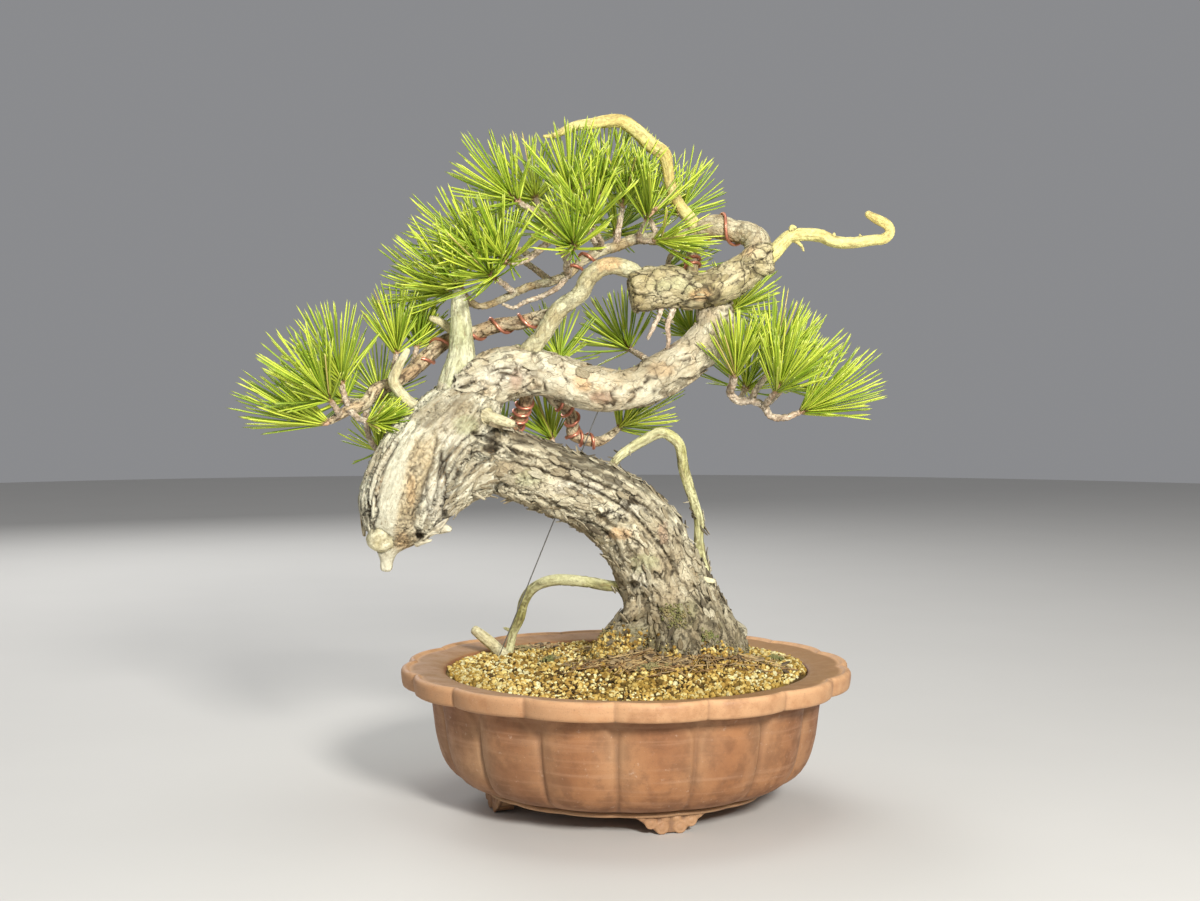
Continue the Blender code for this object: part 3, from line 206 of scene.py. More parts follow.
# Sprays of needles: the twig that carries each, the way it points (across, up, depth), how far
# its needles spread from that way in degrees, and their length
SPRAYS = {
    "crown": ([(-54, 464, 2, 2.6), (-51, 472, -1, 2.4), (-47, 480, -3, 2.1)], (0, 1, -0.1), 62, 56),
    "crown_right": ([(-36, 461, 8, 2.6), (-27, 472, 12, 2.4), (-21, 483, 15, 2.1)],
                    (0.3, 1, 0.15), 60, 56),
    "crown_left": (CROWN_BRANCH[-3:], (-0.75, 0.7, -0.1), 60, 56),
    "crown_back": ([(-66, 469, -2, 2.6), (-70, 474, 10, 2.4), (-72, 480, 22, 2.1)],
                   (-0.3, 0.8, 0.6), 60, 56),
    "brow": ([(-22, 440, 18, 2.6), (-20, 446, 4, 2.4), (-24, 453, -10, 2.2), (-27, 459, -18, 2.1)],
             (0, 0.9, -0.4), 60, 56),
    "nape": ([(8, 449, 30, 2.8), (12, 455, 20, 2.4), (16, 463, 10, 2.1)], (0.7, 0.75, -0.1), 50, 62),
    "crest": ([(-8, 443, 24, 2.8), (-6, 458, 22, 2.4), (-3, 474, 20, 2.1)], (0.15, 1, 0), 58, 58),
    "middle": (FRONT_BRANCH[-3:], (-0.35, 0.8, -0.45), 76, 56),
    "left_tier": ([(-76, 435, -16, 2.5), (-88, 441, -10, 2.3), (-103, 441, -7, 2.3), (-115, 440, -6, 2.1)],
                  (-0.85, 0.5, 0), 58, 58),
    "left_low": ([(-117, 395, 4, 2.4), (-128, 398, 12, 2.3), (-139, 404, 16, 2.1)],
                 (-1, 0.15, 0.1), 52, 56),
    "left_mid": (CURVED_LIMB[-3:], (-0.75, 0.65, -0.2), 62, 58),
    "nape_back": ([(25, 449, 37, 3), (22, 458, 43, 2.5), (17, 467, 48, 2.1)], (0.3, 0.9, 0.4), 55, 54),
    "under_curve": ([(43, 451, 40, 3), (40, 442, 46, 2.4), (35, 434, 50, 2.3), (33, 427, 55, 2.1)],
                    (1, 0.15, 0.4), 42, 46),
    "ear": ([(8, 449, 30, 2.8), (14, 447, 18, 2.4), (21, 448, 10, 2.1)], (1, 0.05, -0.2), 32, 46),
    "left_back": ([(-60, 415, 6, 2.8), (-72, 424, 22, 2.5), (-86, 434, 34, 2.3), (-97, 441, 42, 2.1)],
                  (-0.6, 0.6, 0.5), 60, 56),
    "middle_back": ([(-46, 421, 10, 2.8), (-48, 432, 26, 2.5), (-55, 445, 42, 2.3), (-59, 453, 52, 2.1)],
                    (-0.2, 0.9, 0.45), 60, 56),
    "right_back": ([(-8, 443, 24, 2.8), (-8, 446, 40, 2.4), (-8, 452, 58, 2.1)],
                   (0.2, 0.7, 0.7), 60, 56),
    "front_low": ([(-46, 421, 10, 2.8), (-48, 426, -4, 2.5), (-46, 434, -20, 2.3), (-43, 440, -32, 2.1)],
                  (0.1, 0.7, -0.7), 58, 50),
    "left_front": ([(-90, 406, 5, 2.6), (-97, 412, -8, 2.3), (-104, 417, -18, 2.1)],
                   (-0.6, 0.5, -0.6), 60, 54),
    "curve_back": ([(55, 456, 39, 3), (50, 462, 53, 2.4), (44, 468, 65, 2.1)], (0.4, 0.7, 0.6), 55, 52),
    "pad_tip": (LEFT_LIMB[-3:], (-1, 0.28, 0), 46, 68),
    "pad_top": ([(-221, 313, -14, 3), (-225, 322, -14, 2.5), (-227, 332, -14, 2.1)],
                (-0.35, 0.95, -0.1), 50, 66),
    "pad_inner": ([(-188, 333, 0, 3), (-186, 345, 4, 2.5), (-184, 356, 6, 2.1)], (-0.1, 1, 0.1), 50, 48),
    "pad_root": ([(-173, 342, 6, 3), (-170, 352, 13, 2.5), (-168, 361, 18, 2.1)],
                 (0.35, 0.95, 0.25), 48, 42),
    "pad_under": ([(-208, 318, -11, 3), (-208, 303, -3, 2.5), (-205, 289, 4, 2.3), (-200, 281, 12, 2.2),
                   (-198, 280, 18, 2.1)], (-0.1, 0.8, 0.6), 56, 46),
    "pad_low": ([(-221, 313, -14, 3), (-215, 306, -20, 2.3), (-208, 303, -25, 2.1)],
                (1, 0.25, -0.2), 40, 30),
    "pad_back": ([(-188, 333, 0, 3), (-192, 329, 14, 2.5), (-196, 324, 28, 2.1)],
                 (-0.1, 0.6, 0.8), 60, 50),
    "pad_heel": ([(-208, 318, -11, 3), (-216, 319, 2, 2.5), (-224, 320, 14, 2.1)],
                 (-0.7, 0.5, 0.5), 55, 60),
    "pad_front": ([(-229, 308, -16, 2.8), (-232, 313, -26, 2.4), (-236, 319, -34, 2.1)],
                  (-0.7, 0.6, -0.5), 52, 60),
    "right_tip": (RIGHT_BRANCH[-3:], (0.85, 0.5, -0.1), 64, 66),
    "right_top": ([(100, 320, -2, 2.8), (105, 330, 0, 2.5), (112, 339, 2, 2.1)], (0.3, 0.95, 0), 50, 64),
    "right_inner": ([(83, 326, 6, 2.8), (85, 331, -4, 2.5), (87, 338, -11, 2.1)],
                    (0.1, 1, -0.15), 40, 48),
    "right_heel": ([(110, 315, -4, 2.8), (118, 322, 8, 2.4), (124, 328, 18, 2.1)],
                   (0.6, 0.75, 0.4), 55, 62),
    "right_front": ([(110, 315, -4, 2.8), (114, 320, -16, 2.3), (119, 326, -26, 2.1)],
                    (0.5, 0.75, -0.5), 55, 60),
    "right_back_pad": ([(91, 319, 2, 2.8), (92, 322, 18, 2.4), (95, 328, 32, 2.1)],
                       (0.2, 0.8, 0.6), 58, 56),
    "back_centre": ([(21, 336, 2, 3.4), (22, 346, 24, 3), (14, 354, 44, 2.6), (4, 360, 57, 2.1)],
                    (-0.6, 0.75, 0.2), 58, 50),
    "back_low_right": (LIMB_B[-3:], (0.7, 0.6, 0.2), 58, 50),
    "back_trunk": ([(-52, 252, -4, 4), (-56, 266, 20, 3.2), (-58, 278, 34, 2.6), (-59, 287, 42, 2.1)],
                   (-0.6, 0.8, 0.3), 52, 44),
    "back_right": ([(57, 359, 9, 3.4), (60, 364, 30, 2.8), (57, 367, 46, 2.4), (54, 370, 58, 2.1)],
                   (-0.3, 0.9, 0.3), 56, 46),
    "back_left": ([(-33, 331, -6, 3.4), (-38, 342, 16, 2.8), (-46, 348, 36, 2.4), (-52, 351, 50, 2.1)],
                  (-0.1, 0.8, 0.6), 58, 50),
    "back_upper": ([(70, 393, 18, 3.2), (76, 392, 33, 2.6), (83, 392, 46, 2.1)],
                   (0.55, 0.75, 0.35), 55, 46),
    "back_low_left": (LIMB_A[-3:], (-0.6, 0.5, 0.6), 56, 48)}

# Copper wires: the limb that each winds round, where on it the wire starts and ends (shares of
# its length) and the rise of one turn
WINDINGS = {
    "wire_left_limb": (LEFT_LIMB, 0.10, 0.59, 24.0),
    "wire_limb_a": (LIMB_A, 0.26, 0.66, 8.0),
    "wire_limb_b": (LIMB_B, 0.20, 0.80, 11.0),
    "wire_curved_limb": (CURVED_LIMB, 0.125, 0.225, 27.0),
    "wire_canopy": (CURVED_LIMB, 0.57, 0.645, 14.0),
    "wire_upright": (UPRIGHT, 0.40, 0.62, 6.0)}

# Needles and their shoots
SHOOT_RADIUS = 1.9
SHOOT_BANDS = 5
SHOOT_BAND_LENGTH = 2.6
SHOOT_FOLLOW = 0.4
NEEDLE_INNER_SPREAD = 10.0
NEEDLE_LIFT = 0.06
GOLDEN_TURN = math.pi * (3 - math.sqrt(5))

# Wires
COPPER_RADIUS = 1.25
WIRE_GAP = 0.55
POINTS_A_TURN = 28
GUY_RADIUS = 0.5
GUY_TOP = (-19, 320, 12.5)
GUY_FOOT = (-103, 112, 58)

# Pot and soil
POT_LOBES = 16
NOTCH_TURN = math.radians(-3.3)
FLOOR_TOP = 21.0
FOOT_TURNS = (17.0, 107.0, 197.0, 287.0)
FOOT_MIDDLE_RADIUS = 104.0
FOOT_WIDTH = 57.0
FOOT_THICK = 15.0
SOIL_EDGE_TOP = 107.0
MOUND_MIDDLE = (92.0, 6.0)
MOUND_HEIGHT = 22.0
MOUND_SPREAD = 75.0


def hashed(ix, iy, iz, seed):
    """A number from 0 to 1 for each corner of a whole-numbered grid."""
    mixed = ix * 73856093 ^ iy * 19349663 ^ iz * 83492791 ^ seed * 2654435761
    mixed = (mixed ^ (mixed >> 13)) * 1274126177 & 0xFFFFFFFF
    mixed ^= mixed >> 15
    return (mixed & 0xFFFFFF) / 0xFFFFFF


def soft_noise(points, seed):
    """Smooth noise from 0 to 1, with features about 1 across."""
    base = np.floor(points).astype(np.int64)
    share = points - base
    share = share * share * (3 - 2 * share)
    total = np.zeros(len(points))
    for corner in product((0, 1), repeat=3):
        x, y, z = (share[:, k] if corner[k] else 1 - share[:, k] for k in range(3))
        total += x * y * z * hashed(*(base + corner).T, seed)
    return total


def rough_noise(points, seed, octaves=3):
    total = sum(soft_noise(points * 2 ** k, seed + k) * 0.5 ** k for k in range(octaves))
    return total / (2 - 0.5 ** (octaves - 1))


def cells(points, seed):
    """For scattered spots: distance to the nearest two, the nearest's own number and how far past it."""
    base = np.floor(points).astype(np.int64)
    nearest, second = np.full((2, len(points)), 9.0)
    number, past = np.zeros((2, len(points)))
    for step in product((-1, 0, 1), repeat=3):
        corner = base + step
        parts = [hashed(*corner.T, seed + k) for k in range(3)]
        gap = np.sqrt(sum((corner[:, k] + parts[k] - points[:, k]) ** 2 for k in range(3)))
        closer = gap < nearest
        second = np.where(closer, nearest, np.minimum(second, gap))
        number = np.where(closer, hashed(*corner.T, seed + 7), number)
        past = np.where(closer, points[:, 0] - corner[:, 0] - parts[0], past)
        nearest = np.where(closer, gap, nearest)
    return nearest, second, number, past


def ramp(value, low, high):
    """0 below low, 1 above high, and smooth between."""
    share = np.clip((value - low) / (high - low), 0, 1)
    return share * share * (3 - 2 * share)


def unit(vector):
    return vector / np.linalg.norm(vector)


def swung(first, second, turn):
    """A direction turned from one towards another that is square to it."""
    return math.cos(turn) * first + math.sin(turn) * second


def from_front(across, up, depth):
    """A point of the front view sheet, carried along its line of sight to its depth."""
    right = (across - EYE_ACROSS) / EYE_DISTANCE
    rise = up / EYE_DISTANCE + FEET_SLOPE
    reach = (depth + EYE_DISTANCE) / (DIP_COS + rise * DIP_SIN)
    return np.array([POT_AXIS_X + EYE_ACROSS + right * reach, depth,
                     EYE_HEIGHT + (rise * DIP_COS - DIP_SIN) * reach])


def on_sheet(points):
    """Where points in space appear on the front view sheet: across and up."""
    away = points[:, 1] + EYE_DISTANCE
    above = points[:, 2] - EYE_HEIGHT
    reach = away * DIP_COS - above * DIP_SIN
    rise = (away * DIP_SIN + above * DIP_COS) / reach
    across = (points[:, 0] - POT_AXIS_X - EYE_ACROSS) / reach * EYE_DISTANCE + EYE_ACROSS
    return across, (rise - FEET_SLOPE) * EYE_DISTANCE


def lengths_along(points):
    return np.concatenate([[0], np.cumsum(np.linalg.norm(np.diff(points, axis=0), axis=1))])


def smooth_route(route, step):
    """Points and radii every step along a Catmull-Rom curve through a route's points."""
    knots = np.array([(*from_front(*point[:3]), point[3]) for point in route])
    padded = np.vstack([2 * knots[0] - knots[1], knots, 2 * knots[-1] - knots[-2]])
    fine = []
    for i in range(1, len(padded) - 2):
        a, b, c, d = padded[i - 1:i + 3]
        for t in np.linspace(0, 1, 24, endpoint=False):
            fine.append(0.5 * (2 * b + (c - a) * t + (2 * a - 5 * b + 4 * c - d) * t * t
                               + (3 * b - a - 3 * c + d) * t ** 3))
    fine = np.array(fine + [padded[-2]])
    along = lengths_along(fine[:, :3])
    wanted = np.linspace(0, along[-1], max(3, round(along[-1] / step) + 1))
    return np.array([[np.interp(w, along, fine[:, k]) for k in range(4)] for w in wanted])


def frames(points):
    """A tangent and two normals at each point, turned as little as possible from one to the next."""
    ahead = np.gradient(points, axis=0)
    ahead = ahead / np.maximum(np.linalg.norm(ahead, axis=1), 1e-9)[:, None]
    away = np.array([0.0, 1.0, 0.0]) if abs(ahead[0][1]) < 0.9 else np.array([0.0, 0.0, 1.0])
    normals = [unit(away - ahead[0] * (ahead[0] @ away))]
    for tangent in ahead[1:]:
        normals.append(unit(normals[-1] - tangent * (normals[-1] @ tangent)))
    normals = np.array(normals)
    return ahead, normals, np.cross(ahead, normals)


def tube(points, radii, sides):
    """The points and quads of an open tube along a route."""
    _, normals, sideways = (way[:, None, :] for way in frames(points))
    turns = np.linspace(0, TAU, sides, endpoint=False)[None, :, None]
    rings = points[:, None, :] + radii[:, None, None] * (np.cos(turns) * normals + np.sin(turns) * sideways)
    starts = np.arange(len(points) - 1)[:, None] * sides
    low = (starts + np.arange(sides)).ravel()
    beside = (starts + (np.arange(sides) + 1) % sides).ravel()
    return rings.reshape(-1, 3), np.column_stack([low, beside, beside + sides, low + sides])


def deselect_all():
    for thing in bpy.context.scene.objects:
        thing.select_set(False)


def in_hand():
    return bpy.context.view_layer.objects.active


def make_active(piece):
    deselect_all()
    piece.select_set(True)
    bpy.context.view_layer.objects.active = piece


def new_piece(name, points, faces, edges=()):
    """An object with this mesh, in metres from points in millimetres."""
    mesh = bpy.data.meshes.new(name)
    mesh.from_pydata((np.asarray(points) * MM).tolist(), edges, faces)
    mesh.update()
    piece = bpy.data.objects.new(name, mesh)
    bpy.context.scene.collection.objects.link(piece)
    make_active(piece)
    return piece


def finished(name):
    """The active object, named, with its place in its mesh, shaded smooth."""
    piece = in_hand()
    make_active(piece)
    piece.name = name
    piece.data.name = name
    bpy.ops.object.transform_apply(location=True, rotation=True, scale=True)
    bpy.ops.object.shade_smooth()
    return piece


def start_editing():
    bpy.ops.object.mode_set(mode="EDIT")
    bpy.ops.mesh.select_all(action="SELECT")


def close_up():
    """Leaves edit mode with every face turned outward."""
    bpy.ops.mesh.select_all(action="SELECT")
    bpy.ops.mesh.normals_make_consistent(inside=False)
    bpy.ops.object.mode_set(mode="OBJECT")


def corners_of(piece):
    """A mesh's points, in millimetres."""
    points = np.empty(len(piece.data.vertices) * 3)
    piece.data.vertices.foreach_get("co", points)
    return points.reshape(-1, 3) / MM


def place_corners(piece, points):
    piece.data.vertices.foreach_set("co", (points * MM).astype(np.float32).ravel())
    piece.data.update()


def faces_of(piece):
    return [tuple(face.vertices) for face in piece.data.polygons]


def skin_of(piece):
    """A mesh's surface, for finding the nearest point on it."""
    return BVHTree.FromPolygons(corners_of(piece).tolist(), faces_of(piece))


def small_shape():
    """The points and faces of the object in hand, which is then removed."""
    piece = in_hand()
    shape = corners_of(piece) * MM, faces_of(piece)
    bpy.data.objects.remove(piece, do_unlink=True)
    return shape


def melted(piece, voxel, rounds):
    """Grows a piece's overlapping parts together into one skin, and softens it."""
    remesh = piece.modifiers.new("Grown together", "REMESH")
    remesh.mode = "VOXEL"
    remesh.voxel_size = voxel
    smooth = piece.modifiers.new("Softened", "SMOOTH")
    smooth.factor = 0.5
    smooth.iterations = rounds
    for modifier in (remesh, smooth):
        bpy.ops.object.modifier_apply(modifier=modifier.name)


def paint(piece, name, values):
    """Writes numbers, colours or flat places on a mesh's points."""
    kind, field = "FLOAT", "value"
    if np.ndim(values) == 2:
        kind, field = ("FLOAT_COLOR", "color") if name.endswith("colour") else ("FLOAT_VECTOR", "vector")
    if field == "color":
        values = np.column_stack([values, np.ones(len(values))])
    values = np.broadcast_to(values, (len(piece.data.vertices), *np.shape(values)[1:]))
    layer = piece.data.attributes.new(name, kind, "POINT")
    layer.data.foreach_set(field, values.astype(np.float32).ravel())


def copies_joined(name, shapes):
    """One piece of many small closed shapes, each given as points and faces."""
    faces = []
    total = 0
    for points, shape_faces in shapes:
        faces.extend([[int(c) + total for c in face] for face in shape_faces])
        total += len(points)
    return new_piece(name, np.vstack([points for points, _ in shapes]), faces)


def strewn(name, shapes, slot, material, **painted):
    """One finished piece of many small shapes, painted and dressed."""
    piece = copies_joined(name, shapes)
    for layer, values in painted.items():
        paint(piece, layer, np.concatenate(values) if isinstance(values, list) else values)
    return dress(finished(name), material)


def dress(piece, material, node=None):
    """Gives a piece its material and its body, and hides the CAD node that it replaces."""
    piece.data.materials.clear()
    piece.data.materials.append(material)
    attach(piece, "root")
    if node:
        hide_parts(node)
    return piece


class Finish:
    """A material in the making: its nodes, and its colour as built up so far."""

    def __init__(self, name):
        self.material = bpy.data.materials.new(name)
        self.material.use_nodes = True
        self.tree = self.material.node_tree
        self.shader = self.tree.nodes["Principled BSDF"]
        self.where = self.place()
        self.colour = self.normal = None

    def add(self, kind, settings=None, **inputs):
        """A shader node with its settings and its inputs, which are values or other nodes' outputs."""
        made = self.tree.nodes.new("ShaderNode" + kind)
        for key, value in (settings or {}).items():
            setattr(made, key, value)
        for key, value in inputs.items():
            self.feed(made.inputs[int(key[1:]) if key[0] == "_" else key.replace("_", " ")], value)
        return made

    def feed(self, socket, value):
        if isinstance(value, bpy.types.NodeSocket):
            self.tree.links.new(value, socket)
        else:
            socket.default_value = value

    def read(self, name, output="Fac"):
        """An attribute of the piece: Fac for a number, Color or Vector for the others."""
        return self.add("Attribute", {"attribute_name": name}).outputs[output]

    def place(self, scale=(1, 1, 1)):
        """Object coordinates, stretched."""
        return self.stretched(self.add("TexCoord").outputs["Object"], scale)

    def stretched(self, where, scale):
        return self.add("Mapping", Vector=where, Scale=scale).outputs[0]

    def noise(self, scale, detail=3.0, roughness=0.55, where=None):
        return self.add("TexNoise", Vector=self.where if where is None else where, Scale=scale, Detail=detail,
                        Roughness=roughness).outputs["Fac"]

    def between(self, value, low, high, out_low=0.0, out_high=1.0):
        return self.add("MapRange", {"interpolation_type": "SMOOTHSTEP"}, Value=value, _1=low, _2=high,
                        _3=out_low, _4=out_high).outputs[0]

    def blend(self, share, first, second, kind="MIX"):
        first, second = (colour if isinstance(colour, bpy.types.NodeSocket) else (*colour[:3], 1.0)
                         for colour in (first, second))
        return self.add("Mix", {"data_type": "RGBA", "blend_type": kind}, _0=share, _6=first,
                        _7=second).outputs[2]

    def coat(self, share, tint, kind="MIX"):
        """Lays a tint over the colour so far."""
        self.colour = self.blend(share, self.colour, tint, kind)

    def maths(self, kind, first, second):
        return self.add("Math", {"operation": kind}, _0=first, _1=second).outputs[0]

    def times(self, first, second):
        return self.maths("MULTIPLY", first, second)

    def bump(self, height, distance, strength):
        made = self.add("Bump", Height=height, Distance=distance, Strength=strength)
        if self.normal is not None:
            self.feed(made.inputs["Normal"], self.normal)
        self.normal = made.outputs[0]

    def done(self, **sockets):
        """The finished material, with the shader's other sockets fed."""
        for name, value in {"Base Color": self.colour, "Normal": self.normal, **sockets}.items():
            if value is not None:
                self.feed(self.shader.inputs[name.replace("_", " ")], value)
        return self.material


# Colours of each kind of wood: pale, middle, and deep for its cracks and for the painted shade under flake
# edges, in grooves and in hollows
WOOD_COLOURS = {
    "old_bark": ((0.88, 0.82, 0.60), (0.46, 0.38, 0.24), (0.030, 0.022, 0.012)),
    "dead_head": ((0.87, 0.84, 0.65), (0.53, 0.46, 0.31), (0.035, 0.024, 0.014)),
    "shard": ((0.88, 0.84, 0.64), (0.60, 0.50, 0.32), (0.05, 0.035, 0.02)),
    "spike": ((0.82, 0.82, 0.58), (0.64, 0.64, 0.36), (0.16, 0.12, 0.07)),
    "bare": ((0.87, 0.83, 0.56), (0.68, 0.60, 0.33), (0.16, 0.12, 0.06)),
    "knob": ((0.90, 0.87, 0.62), (0.74, 0.66, 0.38), (0.20, 0.15, 0.07)),
    "yellow_jin": ((0.90, 0.84, 0.36), (0.76, 0.61, 0.20), (0.30, 0.19, 0.07)),
    "plates": ((0.86, 0.81, 0.61), (0.66, 0.52, 0.32), (0.04, 0.028, 0.016)),
    "log": ((0.78, 0.70, 0.44), (0.48, 0.40, 0.20), (0.025, 0.020, 0.010)),
    "curved": ((0.72, 0.67, 0.46), (0.50, 0.37, 0.19), (0.09, 0.05, 0.03)),
    "smooth_branch": ((0.76, 0.74, 0.48), (0.54, 0.47, 0.26), (0.10, 0.07, 0.04)),
    "young": ((0.88, 0.78, 0.54), (0.64, 0.44, 0.25), (0.07, 0.04, 0.025)),
    "twig": ((0.93, 0.83, 0.66), (0.74, 0.55, 0.39), (0.16, 0.10, 0.06)),
    "arch": ((0.80, 0.79, 0.46), (0.50, 0.48, 0.16), (0.12, 0.10, 0.03)),
}

# How scaly each kind of wood is, for the fine cracks in its skin; the others are fibrous
SCALY = {"old_bark": 0.85, "plates": 0.5, "log": 0.85, "curved": 0.5, "smooth_branch": 0.4, "young": 0.6,
         "twig": 0.5}

# How much larger the fine cracks in the skin of the thickest limbs are
BROAD_CRACKS = {"old_bark": 1.3, "plates": 2.1, "log": 1.5}

# Marks on the bark, as places on the front view sheet: across, up, half width, half height
# The hollows are carved in, and painted dark as shade inside them
HOLLOWS = [(-109, 281, 8, 4.5), (-166, 212, 4, 3.5), (-135, 262, 2, 4), (-15, 169, 9, 3), (5, 172, 5, 4)]
ORANGE_PATCHES = [(-14, 430, 12, 7), (60, 405, 10, 7), (96, 446, 9, 12), (-36, 334, 9, 8),
                  (30, 345, 14, 7), (-172, 248, 4, 14), (-179, 207, 6, 9), (-5, 213, 12, 6)]
GREEN_PATCHES = [(-134, 372, 14, 16), (10, 130, 16, 14), (50, 150, 10, 12), (40, 412, 22, 8),
                 (-128, 300, 12, 9), (-78, 258, 14, 8), (15, 190, 12, 10)]
PALE_PATCHES = [(-95, 338, 26, 11), (-142, 296, 12, 14), (-40, 250, 30, 8), (0, 232, 18, 8),
                (12, 178, 10, 12), (-150, 238, 14, 26)]
# Painted shade: these patches darken the top of the hanging head and the limbs above it
SHADED_PATCHES = [(-138, 306, 34, 16), (20, 344, 44, 16), (60, 376, 18, 30), (-30, 444, 30, 10)]
RED_PATCHES = [(30, 212, 5, 12), (-88, 336, 6, 10), (-20, 322, 12, 6)]

# The patches of colour on the front: their places, tint, seed and strength; the shaded ones are painted
# shade, the others the bark's own colours
PATCHES = [
    (PALE_PATCHES, (0.92, 0.88, 0.72), 41, 0.6), (ORANGE_PATCHES, (0.82, 0.48, 0.21), 31, 0.6),
    (SHADED_PATCHES, (0.44, 0.37, 0.23), 47, 0.5), (RED_PATCHES, (0.36, 0.17, 0.10), 43, 0.6),
    (GREEN_PATCHES, (0.46, 0.50, 0.26), 37, 0.45)]

# Down the hanging head: where its bare panel and its ochre band begin and end, as heights and
# places across at those heights
PANEL_LEFT = [(212, -203), (225, -200), (250, -196), (264, -193), (276, -188), (286, -182)]
PANEL_RIGHT = [(206, -188), (222, -185), (235, -183), (250, -180), (265, -177), (280, -173), (292, -168)]
BAND_RIGHT = [(208, -168), (220, -169), (230, -168), (240, -165), (255, -160), (270, -155), (286, -150)]

# Grooves and lifted edges that can be seen on the front: their points on the front view sheet, half width,
# depth and how dark they are, as painted shade in the groove
GROOVES = [
    ([(-182, 288), (-188, 276), (-193, 264), (-196, 250), (-198, 235), (-200, 225), (-203, 213)],
     0.7, 1.6, 0.85),
    ([(-151, 288), (-155, 270), (-161, 255), (-165, 240), (-169, 230), (-170, 220), (-166, 211)],
     1.2, 2.2, 0.8),
    ([(-147, 279), (-149, 260), (-152, 245), (-154, 236)], 1.7, 4.0, 1.0),
    ([(-145, 262), (-143, 250), (-145, 240), (-147, 220)], 1.8, 4.4, 1.0),
    ([(-158, 262), (-160, 250), (-160, 240), (-157, 228)], 1.0, 2.0, 0.8),
    ([(-121, 294), (-131, 288), (-139, 279), (-145, 270), (-147, 260)], 1.3, 2.8, 1.0),
    ([(-119, 287), (-129, 282), (-135, 274), (-139, 266), (-142, 256)], 1.1, 2.4, 0.9),
    ([(-116, 279), (-127, 276), (-132, 268), (-136, 260), (-138, 252), (-142, 240)], 1.0, 2.2, 0.9),
    ([(-108, 273), (-120, 268), (-128, 258), (-136, 247), (-140, 236)], 0.9, 1.6, 0.8),
    ([(-125, 293), (-112, 291), (-104, 286), (-92, 280), (-77, 272)], 1.7, 3.6, 1.0),
    ([(-98, 252), (-81, 244), (-61, 240), (-45, 231), (-31, 223), (-18, 216), (-10, 206), (-5, 194),
      (3, 182)], 1.1, 2.6, 1.0),
    ([(-74, 262), (-75, 252), (-72, 246)], 0.6, 1.2, 0.9),
    ([(-4, 244), (-6, 232)], 0.7, 1.4, 0.9),
    ([(-40, 236), (-30, 246), (-14, 250)], 0.6, 1.0, 0.8),
    ([(12, 214), (22, 204), (30, 190), (40, 172)], 0.8, 1.6, 0.9),
    ([(-2, 204), (10, 192), (18, 176), (28, 160)], 0.8, 1.6, 0.9),
    ([(34, 196), (42, 180), (52, 166), (64, 152)], 0.8, 1.6, 0.9),
    ([(14, 172), (26, 152), (34, 134), (38, 120)], 1.0, 2.0, 1.0),
    ([(46, 158), (54, 140), (66, 124)], 1.0, 2.0, 1.0)]

# The crust along the trunk's upper edge ends in two ragged steps: places across and heights on the
# front view sheet, and how far the bark above each stands out
CRUST_STEPS = [
    ([(-112, 289), (-81, 279), (-61, 272), (-42, 264), (-23, 256), (-5, 247), (10, 240), (23, 231),
      (33, 217), (44, 205), (54, 190)], 3.2),
    ([(-104, 278), (-81, 269), (-61, 263), (-42, 256), (-23, 248), (-7, 239), (8, 228), (20, 214),
      (32, 198), (42, 180)], 2.4)]

# The whorl at the lower left of the head, on the front view sheet
WHORL = (-196, 208)

# The seed of the wood's patterns, and how far apart in them one limb is from the next
WOOD_SEED = 11
LIMB_SHIFT = 317

# Limbs whose wood runs on from the hanging head's: how far from their start and from their end
HEAD_GRAIN = [(MAIN_LIMB, 26, 0), (SPIKE, 30, 0), (TRUNK, 0, 18)]


def rounded(path, blunt=False):
    """A route's points with half a ball at each end, or with a cut face at its blunt start."""
    rows = [path]
    for end, beside in ((0, 1), (-1, -2)):
        out = unit(path[end, :3] - path[beside, :3])
        steps = [(0.7 * math.sin(t), math.cos(t)) for t in np.radians([35, 62, 82])]
        if blunt and end == 0:
            steps = [(0.2, 1.02), (0.3, 1.0), (0.36, 0.86)]
        radius = path[end, 3]
        ball = np.array([(*(path[end, :3] + out * radius * ahead), radius * wide) for ahead, wide in steps])
        rows = [ball[::-1]] + rows if end == 0 else rows + [ball]
    return np.vstack(rows)


def wood_tubes():
    """Every limb and twig as rings: points, radii, sides and kind of wood."""
    tubes = []
    for route, kind in LIMBS:
        path = rounded(smooth_route(route, 2.0), blunt=route is UPPER_LOG)
        tubes.append((path[:, :3], path[:, 3], 24 if path[:, 3].max() > 8 else 12, kind))
    for route, *_ in SPRAYS.values():
        if not any(route == limb[-len(route):] for limb, _ in LIMBS):
            path = rounded(smooth_route(route, 2.0))
            tubes.append((path[:, :3], path[:, 3], 10, "twig"))
    return tubes


def sorted_by_tube(points, tubes):
    """For each point: its tube, its ring there and the nearest point of the tube's skin."""
    corners, quads, owners = [], [], []
    total = 0
    for number, (middles, radii, sides, _) in enumerate(tubes):
        ring_points, ring_quads = tube(middles, radii, sides)
        corners.append(ring_points)
        quads.append(ring_quads + total)
        rings = np.repeat(np.arange(len(middles) - 1), sides)
        owners.append(np.column_stack([np.full(len(rings), number), rings]))
        total += len(ring_points)
    skin = BVHTree.FromPolygons(np.vstack(corners).tolist(), np.vstack(quads).tolist())
    nearest = [skin.find_nearest(point) for point in points.tolist()]
    owner, ring = np.vstack(owners)[[hit[2] for hit in nearest]].T
    return owner, ring, np.array([tuple(hit[0]) for hit in nearest])


def straightened(points, tubes, owner, ring):
    """Each point as if its limb were straight: along, and two ways across; and its limb's radius."""
    straight = np.zeros_like(points)
    radius = np.zeros(len(points))
    for number, (middles, radii, _, _) in enumerate(tubes):
        mine = owner == number
        at = ring[mine]
        off = points[mine] - middles[at]
        ahead, normals, sideways = ((off * way[at]).sum(1) for way in frames(middles))
        straight[mine] = np.column_stack([lengths_along(middles)[at] + ahead, normals, sideways])
        straight[mine, 0] += LIMB_SHIFT * number
        radius[mine] = radii[at]
    return straight, radius


